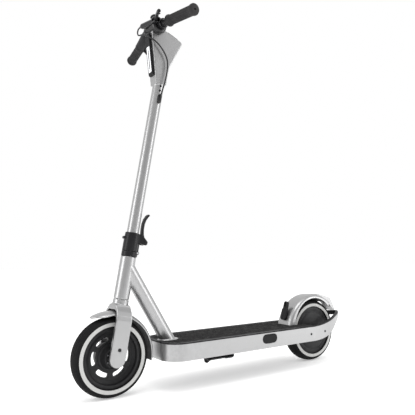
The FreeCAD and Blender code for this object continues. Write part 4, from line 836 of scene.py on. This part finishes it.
# ---- Headlight ------------------------------------------------------------------------------------------
SLOT_HALF = 2.2 * MM
SLOT_INSET = 11 * MM
SLOT_ARC_STEPS = 16
LENS_DEPTH = 2.6 * MM


def make_light_slot():
    """A dark slot down the middle of the headlight's lens."""
    low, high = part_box("headlight_lens")
    lean = (high.y - low.y - LENS_DEPTH) / (high.z - low.z)
    length = (high.z - low.z) - 2 * SLOT_INSET
    ring = []
    for step in range(SLOT_ARC_STEPS):
        turn = math.pi * step / (SLOT_ARC_STEPS - 1)
        ring.append((SLOT_HALF * math.cos(turn), SLOT_HALF * math.sin(turn)))
    outline = [(x, length / 2 + z) for x, z in ring] + [(-x, -length / 2 - z) for x, z in ring]
    middle_z = (low.z + high.z) / 2
    middle_y = (low.y + high.y - LENS_DEPTH) / 2
    bm = bmesh.new()
    front, back = [[bm.verts.new((x, middle_y - lean * z + depth, middle_z + z)) for x, z in outline]
                   for depth in (-0.35 * MM, 0.6 * MM)]
    bm.faces.new(front)
    for index in range(len(outline)):
        after = (index + 1) % len(outline)
        bm.faces.new([front[index], front[after], back[after], back[index]])
    new_piece("light_slot", sharp_by_angle(mesh_of("light_slot", bm), 40), "stem", "gloss_black")


# ---- Brake cable ----------------------------------------------------------------------------------------
# The route, from the perch's nose to the grommet, in millimetres from the bar's middle.
CABLE_ROUTE = [(-21.7, -38.8, 4.5), (-33, -41, 4.5), (-39, -42, -9), (-28, -43, -23), (-4, -42, -28),
               (15, -36, -38), (28, -19, -50), (32, -1, -64), (32.5, 15, -82), (32.5, 28, -104),
               (32.5, 30, -130), (32, 26, -158), (31, 20, -184), (29, 14, -205), (25.5, 10, -222),
               (20.5, 7.2, -236)]
CABLE_DIAMETER = 4.6 * MM


def make_cable():
    curve = bpy.data.curves.new("brake_cable_run", "CURVE")
    curve.dimensions = "3D"
    curve.bevel_depth = CABLE_DIAMETER / 2
    curve.bevel_resolution = 6
    curve.use_fill_caps = True
    spline = curve.splines.new("NURBS")
    spline.points.add(len(CABLE_ROUTE) - 1)
    for point, place in zip(spline.points, CABLE_ROUTE):
        point.co = (*(BAR_MIDDLE + Vector(place) * MM), 1)
    spline.order_u = 3
    spline.use_endpoint_u = True
    spline.resolution_u = 12
    cable = bpy.data.objects.new("brake_cable_run", curve)
    bpy.context.scene.collection.objects.link(cable)
    curve.materials.append(MATERIALS["cable_sheath"])
    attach(cable, "stem")
    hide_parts("brake_cable")


# ---- Studio ---------------------------------------------------------------------------------------------
CAMERA_AZIMUTH = math.radians(55.90)
CAMERA_RISE = math.radians(-5.93)
CAMERA_ROLL = math.radians(-0.65)
CAMERA_PLACE = Vector((1.2627, -0.9366, 0.390))
CAMERA_LENS = 40.07


def make_camera():
    data = bpy.data.cameras.new("camera")
    data.lens = CAMERA_LENS
    data.sensor_width = 36
    data.clip_end = 60
    camera = bpy.data.objects.new("camera", data)
    bpy.context.scene.collection.objects.link(camera)
    flat = math.cos(CAMERA_RISE)
    back = Vector((math.sin(CAMERA_AZIMUTH) * flat, -math.cos(CAMERA_AZIMUTH) * flat, math.sin(CAMERA_RISE)))
    right = Vector((math.cos(CAMERA_AZIMUTH), math.sin(CAMERA_AZIMUTH), 0))
    up = back.cross(right)
    turned_right = right * math.cos(CAMERA_ROLL) + up * math.sin(CAMERA_ROLL)
    turned_up = up * math.cos(CAMERA_ROLL) - right * math.sin(CAMERA_ROLL)
    axes = Matrix((turned_right, turned_up, back)).transposed().to_4x4()
    camera.matrix_world = Matrix.Translation(CAMERA_PLACE) @ axes
    bpy.context.scene.camera = camera


def area_light(name, place, target, size, power):
    data = bpy.data.lights.new(name, "AREA")
    data.shape = "RECTANGLE"
    data.size, data.size_y = size
    data.energy = power
    light = bpy.data.objects.new(name, data)
    light.location = place
    light.rotation_euler = (Vector(target) - Vector(place)).to_track_quat("-Z", "Y").to_euler()
    bpy.context.scene.collection.objects.link(light)


# Name, place, target, size and power of each light.
LIGHTS = [("top", (0.6, -0.4, 3.0), (0, -0.1, 0.4), (1.6, 1.6), 22),
          ("front_strip", (-0.25, -3.1, 1.2), (0, -0.3, 0.6), (1.3, 2.4), 28),
          ("rear_strip", (2.0, 2.3, 1.2), (0, -0.2, 0.6), (1.3, 2.4), 28)]
FLOOR_REACH = 14
FLOOR_GLOW = 0.34
# The world's light comes strongest from round the sides, and weakest from this way, near the camera.
DARK_SIDE = math.radians(-20)
WORLD_DARK = 0.6
WORLD_BRIGHT = 0.95


def make_studio():
    material, tree, shader = new_material("studio_floor", (0.93, 0.93, 0.93), 0.9, emission=FLOOR_GLOW)
    soft = spread(tree, noise(tree, 0.6, 2), 0.88, 0.94)
    link(tree, mix_colour(tree, soft, (0.90, 0.90, 0.90), (0.94, 0.94, 0.94)), shader.inputs["Base Color"])
    bm = bmesh.new()
    bmesh.ops.create_grid(bm, x_segments=4, y_segments=4, size=FLOOR_REACH)
    mesh = bpy.data.meshes.new("studio_floor")
    bm.to_mesh(mesh)
    bm.free()
    mesh.materials.append(material)
    floor = bpy.data.objects.new("studio_floor", mesh)
    bpy.context.scene.collection.objects.link(floor)
    make_world()
    bpy.context.scene.view_settings.view_transform = "Standard"
    for light in LIGHTS:
        area_light(*light)


def make_world():
    """White where the camera looks past the scooter, and grey where it only gives light."""
    world = bpy.data.worlds.new("studio")
    world.use_nodes = True
    tree = world.node_tree
    background = tree.nodes["Background"]
    background.inputs["Color"].default_value = (1, 1, 1, 1)
    coordinates = tree.nodes.new("ShaderNodeTexCoord")
    towards = tree.nodes.new("ShaderNodeVectorMath")
    towards.operation = "DOT_PRODUCT"
    link(tree, coordinates.outputs["Generated"], towards.inputs[0])
    towards.inputs[1].default_value = (math.cos(DARK_SIDE), math.sin(DARK_SIDE), 0)
    light = tree.nodes.new("ShaderNodeMapRange")
    light.inputs["From Min"].default_value = 0.3
    light.inputs["From Max"].default_value = 0.95
    light.inputs["To Min"].default_value = WORLD_BRIGHT
    light.inputs["To Max"].default_value = WORLD_DARK
    link(tree, towards.outputs["Value"], light.inputs["Value"])
    ray = tree.nodes.new("ShaderNodeLightPath")
    strength = tree.nodes.new("ShaderNodeMix")
    strength.inputs["B"].default_value = 1.0
    link(tree, ray.outputs["Is Camera Ray"], strength.inputs["Factor"])
    link(tree, light.outputs["Result"], strength.inputs["A"])
    link(tree, strength.outputs["Result"], background.inputs["Strength"])
    bpy.context.scene.world = world


paint_cad_nodes()
make_camera()
make_studio()
make_cable()
make_front_wheel()
make_rear_wheel()
make_front_fender()
make_rear_fender()
make_deck()
make_frame_tubes()
make_front_end()
make_head()
make_grips()
make_throttle()
make_bell()
make_light_slot()
